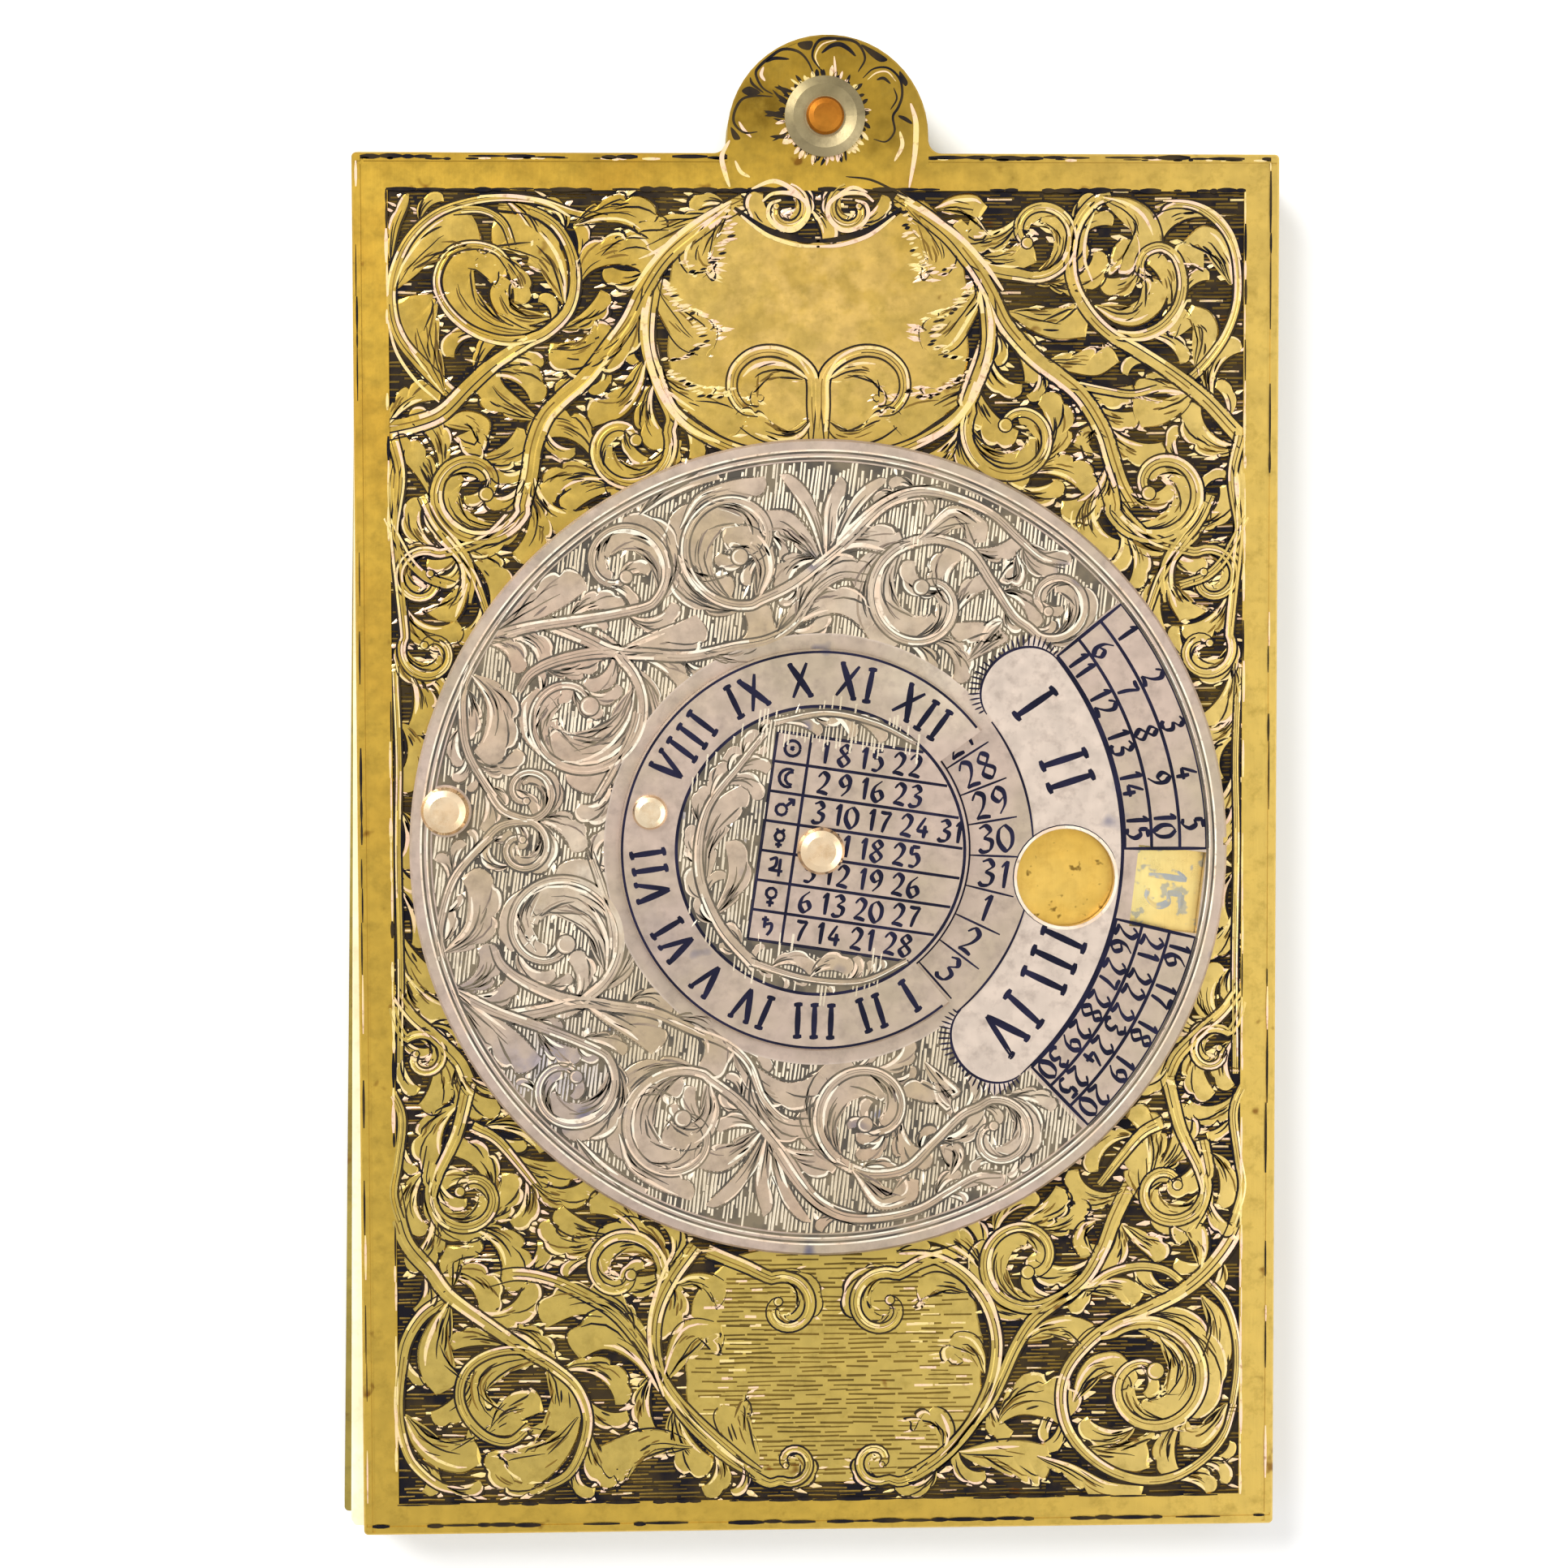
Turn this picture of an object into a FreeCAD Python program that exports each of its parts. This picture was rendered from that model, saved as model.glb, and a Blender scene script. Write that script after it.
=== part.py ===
"""Perpetual calendar on a rivet: engraved front plate with two turning dials, bone note leaves and a back.

Millimetres. The object lies on its back: +X right, +Y towards the lug, +Z out of the engraved face.
The origin is on the back face, under the centre of the dials. The front plate stands square to the axes.
The leaves and the back plate are swung a little out from behind it about the lug rivet, as photographed.
"""

import FreeCAD, Part
import math
import os

# Sheet thicknesses
front_thickness = 1.0
back_thickness = 0.9
leaf_thickness = 0.45
moon_dial_thickness = 0.7
weekday_dial_thickness = 0.6
base_washer_thickness = 0.2
dial_washer_thickness = 0.15

# Running clearances
leaf_gap = 0.06
turning_gap = 0.03
bore_clearance = 0.05

# Bands of the dials, from the centre outwards
table_radius = 9.6
name_ring_width = 3.45
number_margin = 0.85
crescent_width = 5.9
text_band_width = 5.5
rim_width = 1.3
dial_edge_bevel = 0.15

# Dial openings
round_window_radius = 3.2
round_window_margin = 0.45
square_window_length = 5.35
square_window_inner_margin = 0.85
square_window_outer_margin = 0.2
window_bearing = -6.8
day_opening_bearing = -6.75
day_opening_span = 86.5
index_notch_width = 0.5
index_notch_depth = 0.25
index_notch_bearing = 0.9

# Lowered ground of the foliage on the moon dial, and the plain cartouche and text band left standing in it
dial_ground_depth = 0.06
dial_ground_margin = 0.15
cartouche_bearing = -5.0
cartouche_span = 100.0
text_band_bearing = -3.5
text_band_span = 86.0

# Plates
dial_side_margin = 3.4
plate_height = 90.0
plate_corner_radius = 0.3
plate_edge_bevel = 0.12
lug_radius = 6.5
lug_base_fillet = 0.9
lug_neck = 0.2
lug_offset = 0.65
field_side_margin = 2.3
field_top_margin = 2.4
field_bottom_margin = 2.05
field_depth = 0.12
dial_land_inset = 0.6
border_line_inset = 0.55
border_line_width = 0.2
border_line_depth = 0.08
border_line_overrun = 0.35

# Note leaves: one entry for each leaf, from the front to the back, in degrees clockwise
leaf_inset = 0.1
leaf_swings = (0.56, 0.66, 0.60, 0.72, 0.62, 0.70)
back_swing = 1.02

# Centre pin
pin_head_radius = 1.53
pin_head_height = 0.95
pin_lower_radius = 1.25
pin_upper_radius = 0.95
pin_tail_flare = 0.6
pin_tail_depth = 0.5
base_washer_radius = 3.4
dial_washer_radius = 2.4

# Knobs of the dials
moon_knob_radius = 1.55
moon_knob_height = 0.9
moon_knob_shank = 0.75
moon_knob_edge_gap = 0.65
moon_knob_bearing = 173.8
weekday_knob_radius = 1.12
weekday_knob_height = 0.75
weekday_knob_shank = 0.55
weekday_knob_bearing = 167.0
knob_tail_flare = 0.25
knob_tail_depth = 0.25

# Lug rivet and its washer
rivet_to_lug_tip = 5.25
rivet_to_lug_middle = 0.2
rivet_shank_radius = 0.9
rivet_head_radius = 1.22
rivet_head_height = 0.45
rivet_tail_flare = 0.5
rivet_tail_depth = 0.45
lug_washer_radius = 2.6
lug_washer_edge = 0.12
lug_washer_crest = 0.42
lug_washer_seat = 0.27
lug_washer_crest_inset = 0.55
lug_washer_seat_margin = 0.1

# Shapes of the heads, as shares of a head's own radius and height
head_wall_share = 0.45
head_flat_share = 0.62
head_shoulder_share = 0.88

# One overrun serves every cut
overrun = 1.0

# Derived plan sizes
weekday_dial_radius = table_radius + name_ring_width
number_ring_radius = weekday_dial_radius + number_margin
crescent_radius = number_ring_radius + crescent_width
text_band_radius = crescent_radius + text_band_width
moon_dial_radius = text_band_radius + rim_width
plate_half_width = moon_dial_radius + dial_side_margin
plate_half_height = plate_height / 2
lug_centre_height = plate_half_height + lug_base_fillet + lug_neck
rivet_x = lug_offset - rivet_to_lug_middle
rivet_y = lug_centre_height + lug_radius - rivet_to_lug_tip

# Derived heights, from the back face upwards
leaf_count = len(leaf_swings)
leaf_pitch = leaf_thickness + leaf_gap
front_bottom = back_thickness + leaf_gap + leaf_count * leaf_pitch
front_top = front_bottom + front_thickness
base_washer_top = front_top + base_washer_thickness
moon_dial_bottom = base_washer_top + turning_gap
moon_dial_top = moon_dial_bottom + moon_dial_thickness
pin_shoulder = moon_dial_top + turning_gap
dial_washer_top = pin_shoulder + dial_washer_thickness
weekday_dial_bottom = dial_washer_top + turning_gap
weekday_dial_top = weekday_dial_bottom + weekday_dial_thickness
pin_head_bottom = weekday_dial_top + turning_gap
lug_washer_bottom = front_top + turning_gap
rivet_head_bottom = lug_washer_bottom + lug_washer_seat

UP = FreeCAD.Vector(0, 0, 1)
ZERO = FreeCAD.Vector(0, 0, 0)
FULL_TURN = 360

# How far along its radius a quarter arc's middle lies from its centre, and what counts as a level face
diagonal_share = math.sqrt(0.5)
level_face_share = 0.9


def point(x, y, z=0):
    return FreeCAD.Vector(x, y, z)


def polar(radius, bearing, z=0):
    """The point at a radius and a bearing, in degrees from +X towards +Y."""
    angle = math.radians(bearing)
    return point(radius * math.cos(angle), radius * math.sin(angle), z)


def line(start, end):
    return Part.LineSegment(start, end).toShape()


def arc(start, middle, end):
    return Part.Arc(start, middle, end).toShape()


def cylinder(radius, bottom, top, x=0, y=0):
    return Part.makeCylinder(radius, top - bottom, point(x, y, bottom), UP)


def revolved(profile, x=0, y=0):
    """A solid of revolution about the vertical line through x, y, from (radius, height) pairs."""
    corners = [point(radius, 0, height) for radius, height in profile]
    wire = Part.makePolygon(corners + [corners[0]])
    solid = Part.Face(wire).revolve(ZERO, UP, FULL_TURN)
    solid.translate(point(x, y))
    return solid


def plate_outline(inset):
    """The outline that plates and leaves share: a rectangle with a lug on its top edge."""
    half_width = plate_half_width - inset
    half_height = plate_half_height - inset
    corner = plate_corner_radius
    corner_slack = corner - corner * diagonal_share
    lug = lug_radius - inset
    fillet = lug_base_fillet + inset
    fillet_slack = fillet - fillet * diagonal_share
    right = lug_offset + lug
    left = lug_offset - lug
    edges = [
        line(point(corner - half_width, -half_height), point(half_width - corner, -half_height)),
        arc(
            point(half_width - corner, -half_height),
            point(half_width - corner_slack, corner_slack - half_height),
            point(half_width, corner - half_height),
        ),
        line(point(half_width, corner - half_height), point(half_width, half_height - corner)),
        arc(
            point(half_width, half_height - corner),
            point(half_width - corner_slack, half_height - corner_slack),
            point(half_width - corner, half_height),
        ),
        line(point(half_width - corner, half_height), point(right + fillet, half_height)),
        arc(
            point(right + fillet, half_height),
            point(right + fillet_slack, half_height + fillet_slack),
            point(right, half_height + fillet),
        ),
        line(point(right, half_height + fillet), point(right, lug_centre_height)),
        arc(
            point(right, lug_centre_height),
            point(lug_offset, lug_centre_height + lug),
            point(left, lug_centre_height),
        ),
        line(point(left, lug_centre_height), point(left, half_height + fillet)),
        arc(
            point(left, half_height + fillet),
            point(left - fillet_slack, half_height + fillet_slack),
            point(left - fillet, half_height),
        ),
        line(point(left - fillet, half_height), point(corner - half_width, half_height)),
        arc(
            point(corner - half_width, half_height),
            point(corner_slack - half_width, half_height - corner_slack),
            point(-half_width, half_height - corner),
        ),
        line(point(-half_width, half_height - corner), point(-half_width, corner - half_height)),
        arc(
            point(-half_width, corner - half_height),
            point(corner_slack - half_width, corner_slack - half_height),
            point(corner - half_width, -half_height),
        ),
    ]
    return Part.Face(Part.Wire(edges))


def sheet(bottom, thickness, inset):
    """A flat piece of the shared outline, lying between two heights."""
    face = plate_outline(inset)
    face.translate(point(0, 0, bottom))
    return face.extrude(UP * thickness)


def bevelled(solid, height, bevel):
    """The solid with the edges of its outer outline at one height broken by a small bevel."""
    near = [face for face in solid.Faces if abs(face.CenterOfMass.z - height) < bevel / 2]
    level = [face for face in near if abs(face.normalAt(0, 0).z) > level_face_share]
    largest = max(level, key=lambda face: face.Area)
    return solid.makeChamfer(bevel, largest.OuterWire.Edges)


def swung(solid, degrees):
    """The solid turned clockwise about the lug rivet."""
    solid.rotate(point(rivet_x, rivet_y), UP, -degrees)
    return solid


def countersunk_hole(radius, flare, depth, bottom, top, x=0, y=0):
    """The space of a rivet's shank and of the tail that is hammered flush into the underside."""
    return revolved(
        [
            (0, bottom),
            (radius + flare, bottom),
            (radius, bottom + depth),
            (radius, top),
            (0, top),
        ],
        x,
        y,
    )


def head_profile(radius, height, bottom):
    """The (radius, height) pairs of a low head: a short wall, a rounded shoulder and a flat crown."""
    return [
        (radius, bottom),
        (radius, bottom + height * head_wall_share),
        (radius * head_shoulder_share, bottom + height * head_shoulder_share),
        (radius * head_flat_share, bottom + height),
        (0, bottom + height),
    ]


def stud(shank, flare, depth, bottom, top, head_radius, head_height, x, y):
    """A one-piece rivet: flush tail, straight shank and low head."""
    profile = [(0, bottom), (shank + flare, bottom), (shank, bottom + depth), (shank, top)]
    return revolved(profile + head_profile(head_radius, head_height, top), x, y)


def border_lines():
    """The cut line round the plate's edge, run past itself at the corners and broken at the lug."""
    half_width = plate_half_width - border_line_inset
    half_height = plate_half_height - border_line_inset
    reach = border_line_overrun
    width = border_line_width
    low = front_top - border_line_depth
    tall = border_line_depth + overrun
    lug_left = lug_offset - lug_radius
    lug_right = lug_offset + lug_radius
    right = half_width - width
    upper = half_height - width
    side_start = -half_height - reach
    side_length = 2 * half_height + 2 * reach
    start = -half_width - reach
    length = 2 * half_width + 2 * reach
    left_run = lug_left - start
    right_run = half_width + reach - lug_right
    return [
        Part.makeBox(width, side_length, tall, point(-half_width, side_start, low)),
        Part.makeBox(width, side_length, tall, point(right, side_start, low)),
        Part.makeBox(length, width, tall, point(start, -half_height, low)),
        Part.makeBox(left_run, width, tall, point(start, upper, low)),
        Part.makeBox(right_run, width, tall, point(lug_right, upper, low)),
    ]


def engraved_field():
    """The lowered ground of the engraving: a rectangle, less the round land under the dials."""
    left = field_side_margin - plate_half_width
    bottom = field_bottom_margin - plate_half_height
    width = 2 * (plate_half_width - field_side_margin)
    height = plate_height - field_top_margin - field_bottom_margin
    floor_height = front_top - field_depth
    ground = Part.makeBox(width, height, field_depth + overrun, point(left, bottom, floor_height))
    land_bottom = front_top - field_depth - overrun
    land_top = front_top + 2 * overrun
    return ground.cut(cylinder(moon_dial_radius - dial_land_inset, land_bottom, land_top))


def front_plate():
    plate = bevelled(sheet(front_bottom, front_thickness, 0), front_top, plate_edge_bevel)
    high = front_top + overrun
    pin_hole = countersunk_hole(pin_lower_radius, pin_tail_flare, pin_tail_depth, front_bottom, high)
    rivet_hole = cylinder(
        rivet_shank_radius + bore_clearance, front_bottom - overrun, front_top + overrun, rivet_x, rivet_y
    )
    return plate.cut([engraved_field(), pin_hole, rivet_hole] + border_lines())


def back_plate():
    plate = bevelled(sheet(0, back_thickness, 0), 0, plate_edge_bevel)
    hole = countersunk_hole(
        rivet_shank_radius, rivet_tail_flare, rivet_tail_depth, 0, back_thickness + overrun, rivet_x, rivet_y
    )
    return swung(plate.cut(hole), back_swing)


def note_leaf(index):
    """One bone leaf. The first lies next to the front plate."""
    bottom = front_bottom - (index + 1) * leaf_pitch
    leaf = sheet(bottom, leaf_thickness, leaf_inset)
    high = bottom + leaf_thickness + overrun
    hole = cylinder(rivet_shank_radius + bore_clearance, bottom - overrun, high, rivet_x, rivet_y)
    return swung(leaf.cut(hole), leaf_swings[index])


def centre_pin():
    """The stepped pin: flush tail, thick lower shank for the moon dial, thin one for the weekday dial."""
    profile = [
        (0, front_bottom),
        (pin_lower_radius + pin_tail_flare, front_bottom),
        (pin_lower_radius, front_bottom + pin_tail_depth),
        (pin_lower_radius, pin_shoulder),
        (pin_upper_radius, pin_shoulder),
        (pin_upper_radius, pin_head_bottom),
    ]
    return revolved(profile + head_profile(pin_head_radius, pin_head_height, pin_head_bottom))


def ring_washer(bore, radius, bottom, top):
    return cylinder(radius, bottom, top).cut(cylinder(bore, bottom - overrun, top + overrun))


def disc(radius, bottom, top, bevel):
    """A round dial with a small bevel round its upper edge."""
    return revolved([(0, bottom), (radius, bottom), (radius, top - bevel), (radius - bevel, top), (0, top)])


def wedge(radius, bearing, span, bottom, top):
    """A triangular prism from the pivot's axis that covers a sector, narrower than a half turn."""
    half_span = span / 2
    reach = radius / math.cos(math.radians(half_span))
    corners = [
        point(0, 0, bottom),
        polar(reach, bearing - half_span, bottom),
        polar(reach, bearing + half_span, bottom),
        point(0, 0, bottom),
    ]
    return Part.Face(Part.makePolygon(corners)).extrude(UP * (top - bottom))


def dial_ground(inner, outer, bearing, span):
    """One ring of the lowered ground, without the sector that stays plain."""
    low = moon_dial_top - dial_ground_depth
    high = moon_dial_top + overrun
    ring = ring_washer(inner, outer, low, high)
    return ring.cut(wedge(outer + overrun, bearing, span, low - overrun, high + overrun))


def moon_dial():
    dial = disc(moon_dial_radius, moon_dial_bottom, moon_dial_top, dial_edge_bevel)
    low = moon_dial_bottom - overrun
    high = moon_dial_top + overrun
    pin_hole = cylinder(pin_lower_radius + bore_clearance, low, high)
    window_centre = polar(crescent_radius - round_window_margin - round_window_radius, window_bearing)
    round_window = cylinder(round_window_radius, low, high, window_centre.x, window_centre.y)
    inner = crescent_radius + square_window_inner_margin
    outer = text_band_radius - square_window_outer_margin
    square_window = Part.makeBox(
        outer - inner, square_window_length, high - low, point(inner, -square_window_length / 2, low)
    )
    square_window.rotate(ZERO, UP, window_bearing)
    notch = Part.makeBox(
        index_notch_depth + overrun,
        index_notch_width,
        high - low,
        point(moon_dial_radius - index_notch_depth, -index_notch_width / 2, low),
    )
    notch.rotate(ZERO, UP, index_notch_bearing)
    knob = moon_knob_place()
    knob_hole = countersunk_hole(
        moon_knob_shank, knob_tail_flare, knob_tail_depth, moon_dial_bottom, high, knob.x, knob.y
    )
    inner_ground = dial_ground(
        number_ring_radius + dial_ground_margin, crescent_radius, cartouche_bearing, cartouche_span
    )
    outer_ground = dial_ground(
        crescent_radius, text_band_radius - dial_ground_margin, text_band_bearing, text_band_span
    )
    knob_land = cylinder(moon_knob_radius + dial_ground_margin, low, high, knob.x, knob.y)
    grounds = inner_ground.fuse(outer_ground).cut(knob_land)
    return dial.cut([pin_hole, round_window, square_window, notch, knob_hole, grounds])


def moon_knob_place():
    return polar(moon_dial_radius - moon_knob_edge_gap - moon_knob_radius, moon_knob_bearing)


def moon_dial_knob():
    place = moon_knob_place()
    return stud(
        moon_knob_shank,
        knob_tail_flare,
        knob_tail_depth,
        moon_dial_bottom,
        moon_dial_top,
        moon_knob_radius,
        moon_knob_height,
        place.x,
        place.y,
    )


def weekday_dial():
    """The upper dial: a round table whose outer ring is cut away over the day numbers."""
    dial = disc(weekday_dial_radius, weekday_dial_bottom, weekday_dial_top, dial_edge_bevel)
    low = weekday_dial_bottom - overrun
    high = weekday_dial_top + overrun
    sector = wedge(weekday_dial_radius + overrun, day_opening_bearing, day_opening_span, low, high)
    opening = sector.cut(cylinder(table_radius, low - overrun, high + overrun))
    pin_hole = cylinder(pin_upper_radius + bore_clearance, low, high)
    knob = weekday_knob_place()
    knob_hole = countersunk_hole(
        weekday_knob_shank, knob_tail_flare, knob_tail_depth, weekday_dial_bottom, high, knob.x, knob.y
    )
    return dial.cut([opening, pin_hole, knob_hole])


def weekday_knob_place():
    return polar(table_radius + name_ring_width / 2, weekday_knob_bearing)


def weekday_dial_knob():
    place = weekday_knob_place()
    return stud(
        weekday_knob_shank,
        knob_tail_flare,
        knob_tail_depth,
        weekday_dial_bottom,
        weekday_dial_top,
        weekday_knob_radius,
        weekday_knob_height,
        place.x,
        place.y,
    )


def lug_rivet():
    return stud(
        rivet_shank_radius,
        rivet_tail_flare,
        rivet_tail_depth,
        0,
        rivet_head_bottom,
        rivet_head_radius,
        rivet_head_height,
        rivet_x,
        rivet_y,
    )


def lug_washer():
    """The dished washer: bevelled outside, and hollowed to a flat seat for the rivet's head."""
    bottom = lug_washer_bottom
    seat_radius = rivet_head_radius + lug_washer_seat_margin
    return revolved(
        [
            (rivet_shank_radius, bottom),
            (lug_washer_radius, bottom),
            (lug_washer_radius, bottom + lug_washer_edge),
            (lug_washer_radius - lug_washer_crest_inset, bottom + lug_washer_crest),
            (seat_radius, bottom + lug_washer_seat),
            (rivet_shank_radius, bottom + lug_washer_seat),
        ],
        rivet_x,
        rivet_y,
    )


def pieces():
    """Every node of the object, by name."""
    nodes = {
        "front_plate": front_plate(),
        "back_plate": back_plate(),
        "lug_rivet": lug_rivet(),
        "lug_washer": lug_washer(),
        "centre_pin": centre_pin(),
        "pin_base_washer": ring_washer(pin_lower_radius, base_washer_radius, front_top, base_washer_top),
        "dial_washer": ring_washer(pin_upper_radius, dial_washer_radius, pin_shoulder, dial_washer_top),
        "moon_dial": moon_dial(),
        "moon_dial_knob": moon_dial_knob(),
        "weekday_dial": weekday_dial(),
        "weekday_dial_knob": weekday_dial_knob(),
    }
    for index in range(leaf_count):
        nodes[f"note_leaf_{index + 1}"] = note_leaf(index)
    return nodes


os.makedirs("parts", exist_ok=True)
for name, solid in pieces().items():
    solid.exportStep(f"parts/{name}.step")
    print(name, "solids", len(solid.Solids), "valid", solid.isValid(), "volume", round(solid.Volume, 3))
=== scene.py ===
"""The looks of a perpetual calendar: scroll engraving, cut numbers, bone leaves and worn metal.

Sizes are millimetres in the frame of the object, and become metres when a mesh is made. The foliage is drawn
as an engraver lays it out: stems and volutes first, then leaves that grow from them into the free ground.
"""

import math
import random

import bpy
import numpy as np
from mathutils import Euler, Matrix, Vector


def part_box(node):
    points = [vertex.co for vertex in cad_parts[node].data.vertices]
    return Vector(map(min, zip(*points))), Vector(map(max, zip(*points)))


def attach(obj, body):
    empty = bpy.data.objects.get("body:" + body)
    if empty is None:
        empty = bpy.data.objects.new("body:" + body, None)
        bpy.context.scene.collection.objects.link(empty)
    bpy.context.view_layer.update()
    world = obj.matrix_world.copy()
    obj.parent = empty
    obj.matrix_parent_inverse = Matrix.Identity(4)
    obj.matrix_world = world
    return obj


MM = 0.001
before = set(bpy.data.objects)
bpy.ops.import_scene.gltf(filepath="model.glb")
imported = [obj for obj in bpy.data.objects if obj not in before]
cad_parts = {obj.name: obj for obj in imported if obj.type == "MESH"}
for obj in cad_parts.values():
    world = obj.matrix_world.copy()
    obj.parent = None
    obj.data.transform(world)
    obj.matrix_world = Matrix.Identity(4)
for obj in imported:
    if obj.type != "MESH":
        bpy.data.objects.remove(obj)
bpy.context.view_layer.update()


def top_of(node):
    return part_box(node)[1][2] / MM


# Heights, read from the frame
PLATE_TOP = top_of("front_plate")
FIELD_FLOOR = PLATE_TOP - 0.12
DIAL_TOP = top_of("moon_dial")
DIAL_FLOOR = DIAL_TOP - 0.06
TABLE_TOP = top_of("weekday_dial")
FIELD_GROUND = FIELD_FLOOR + 0.006
DIAL_GROUND = DIAL_FLOOR + 0.004
AGE_LEVEL = PLATE_TOP + 0.004

# Plan of the plate
PLATE_HALF = (30.0, 45.0)
FIELD_LOW = (-27.7, -42.95)
FIELD_HIGH = (27.7, 42.6)
LUG_CENTRE = (0.65, 46.1)
LUG_RADIUS = 6.5
RIVET = (0.45, 47.35)
WASHER_RADIUS = 2.6
BORDER_INSET = 0.55
UPPER_SHIELD = (0.0, 34.4, 9.6, 8.6)
LOWER_SHIELD = (0.9, -34.0, 9.6, 8.0)
UPPER_SHIELD_TOP = 39.1
UPPER_SHIELD_CURVE = 0.07
LOWER_SHIELD_FOOT = -41.8

# Bands of the dials
TABLE_RADIUS = 9.6
WEEKDAY_RADIUS = 13.05
NUMBER_RADIUS = 13.9
NAME_RADIUS = 11.1
CRESCENT_MIDDLE = 16.9
CRESCENT_RADIUS = 19.8
AGE_RADIUS = 22.85
GROUND_EDGE = 9.3
BAND_RADIUS = 25.3
LAND_RADIUS = 26.0
DIAL_AXIS = 174.0
SQUARE_WINDOW = (-0.1, -13.5)
ROUND_WINDOW = (16.15, 3.2, -6.8)
BAND_ENDS = (39.0, -46.0)
CRESCENT_ENDS = (45.0, -55.0)
DOME = (16.85, 2.9, 2.45)
DOME_ENDS = ((38.5, 1), (-48.5, -1))
MOON_KNOB = (24.4, 1.9)

# Cuts of the graver
FINE = 0.06
LINE = 0.10
BOLD = 0.17
LIFT = 0.008

# The places of the paints on a piece of engraving. In the plate's and the dials' engraving BRIGHT holds cut
# metal painted pale as a highlight; under the windows it holds the worn silver of the numbers
METAL, DARK, BRIGHT, SOFT = 0, 1, 2, 3

# The height that overlapping leaves share, and how far the stems stand above them
LEAF_LAYERS = 0.018
STEM_RISE = 0.012


def smooth(points, steps=10):
    """A Catmull-Rom curve through the points."""
    p = np.asarray(points, float)
    p = np.vstack([2 * p[0] - p[1], p, 2 * p[-1] - p[-2]])
    t = np.linspace(0, 1, steps, endpoint=False)[:, None]
    spans = []
    for a, b, c, d in zip(p, p[1:], p[2:], p[3:]):
        cubic = 3 * b - a - 3 * c + d
        spans.append(0.5 * (2 * b + (c - a) * t + (2 * a - 5 * b + 4 * c - d) * t**2 + cubic * t**3))
    return np.vstack(spans + [p[-2:-1]])


def resampled(path, count):
    """The path with evenly spaced points."""
    gaps = np.hypot(*np.diff(path, axis=0).T)
    along = np.concatenate([[0], np.cumsum(gaps)])
    want = np.linspace(0, along[-1], count)
    return np.stack([np.interp(want, along, path[:, 0]), np.interp(want, along, path[:, 1])], 1)


def length_of(path):
    return float(np.hypot(*np.diff(path, axis=0).T).sum())


def directions(path):
    """Unit tangents of a path, and unit normals to its left."""
    tangent = np.gradient(path, axis=0)
    tangent /= np.maximum(np.hypot(*tangent.T), 1e-9)[:, None]
    return tangent, np.stack([-tangent[:, 1], tangent[:, 0]], 1)


def units(angle):
    """Unit vectors at angles in radians."""
    return np.stack([np.cos(angle), np.sin(angle)], 1)


def volute(centre, radius, start, sweep, end_share=0.2, steps=60):
    """A spiral that closes in on its centre. Angles are in degrees, and a negative sweep turns clockwise."""
    t = np.linspace(0, 1, steps)
    angle = np.radians(start + sweep * t)
    reach = radius * (1 - (1 - end_share) * t**1.3)
    return np.asarray(centre) + reach[:, None] * units(angle)


def scroll(lead, centre, radius, start, sweep, end_share=0.2):
    """A stem that runs through the lead points and curls into a volute."""
    curl = volute(centre, radius, start, sweep, end_share)
    if not lead:
        return curl
    first = smooth(list(lead) + [curl[0], curl[4]])
    return np.vstack([first[:-11], curl])


def mirrored(path, bearing=90.0):
    """The path seen in a mirror that stands through the origin along the bearing."""
    c, s = math.cos(math.radians(2 * bearing)), math.sin(math.radians(2 * bearing))
    return path @ np.array([[c, s], [s, -c]]).T


def polar(radius, bearing):
    return np.array([radius * math.cos(math.radians(bearing)), radius * math.sin(math.radians(bearing))])


def ring_arc(radius, start, end, centre=(0.0, 0.0), spacing=0.5):
    steps = max(6, int(abs(end - start) / 360 * 2 * math.pi * radius / spacing))
    angle = np.radians(np.linspace(start, end, steps))
    return np.asarray(centre) + radius * units(angle)


def shown(name, points, faces, materials, body, paints=None):
    """A mesh through points in millimetres, as a piece of the scene that rides a body."""
    mesh = bpy.data.meshes.new(name)
    mesh.from_pydata((points * MM).tolist(), [], faces)
    for material in materials:
        mesh.materials.append(material)
    if paints:
        mesh.polygons.foreach_set("material_index", paints)
    mesh.update()
    obj = bpy.data.objects.new(name, mesh)
    bpy.context.scene.collection.objects.link(obj)
    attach(obj, body)


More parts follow.
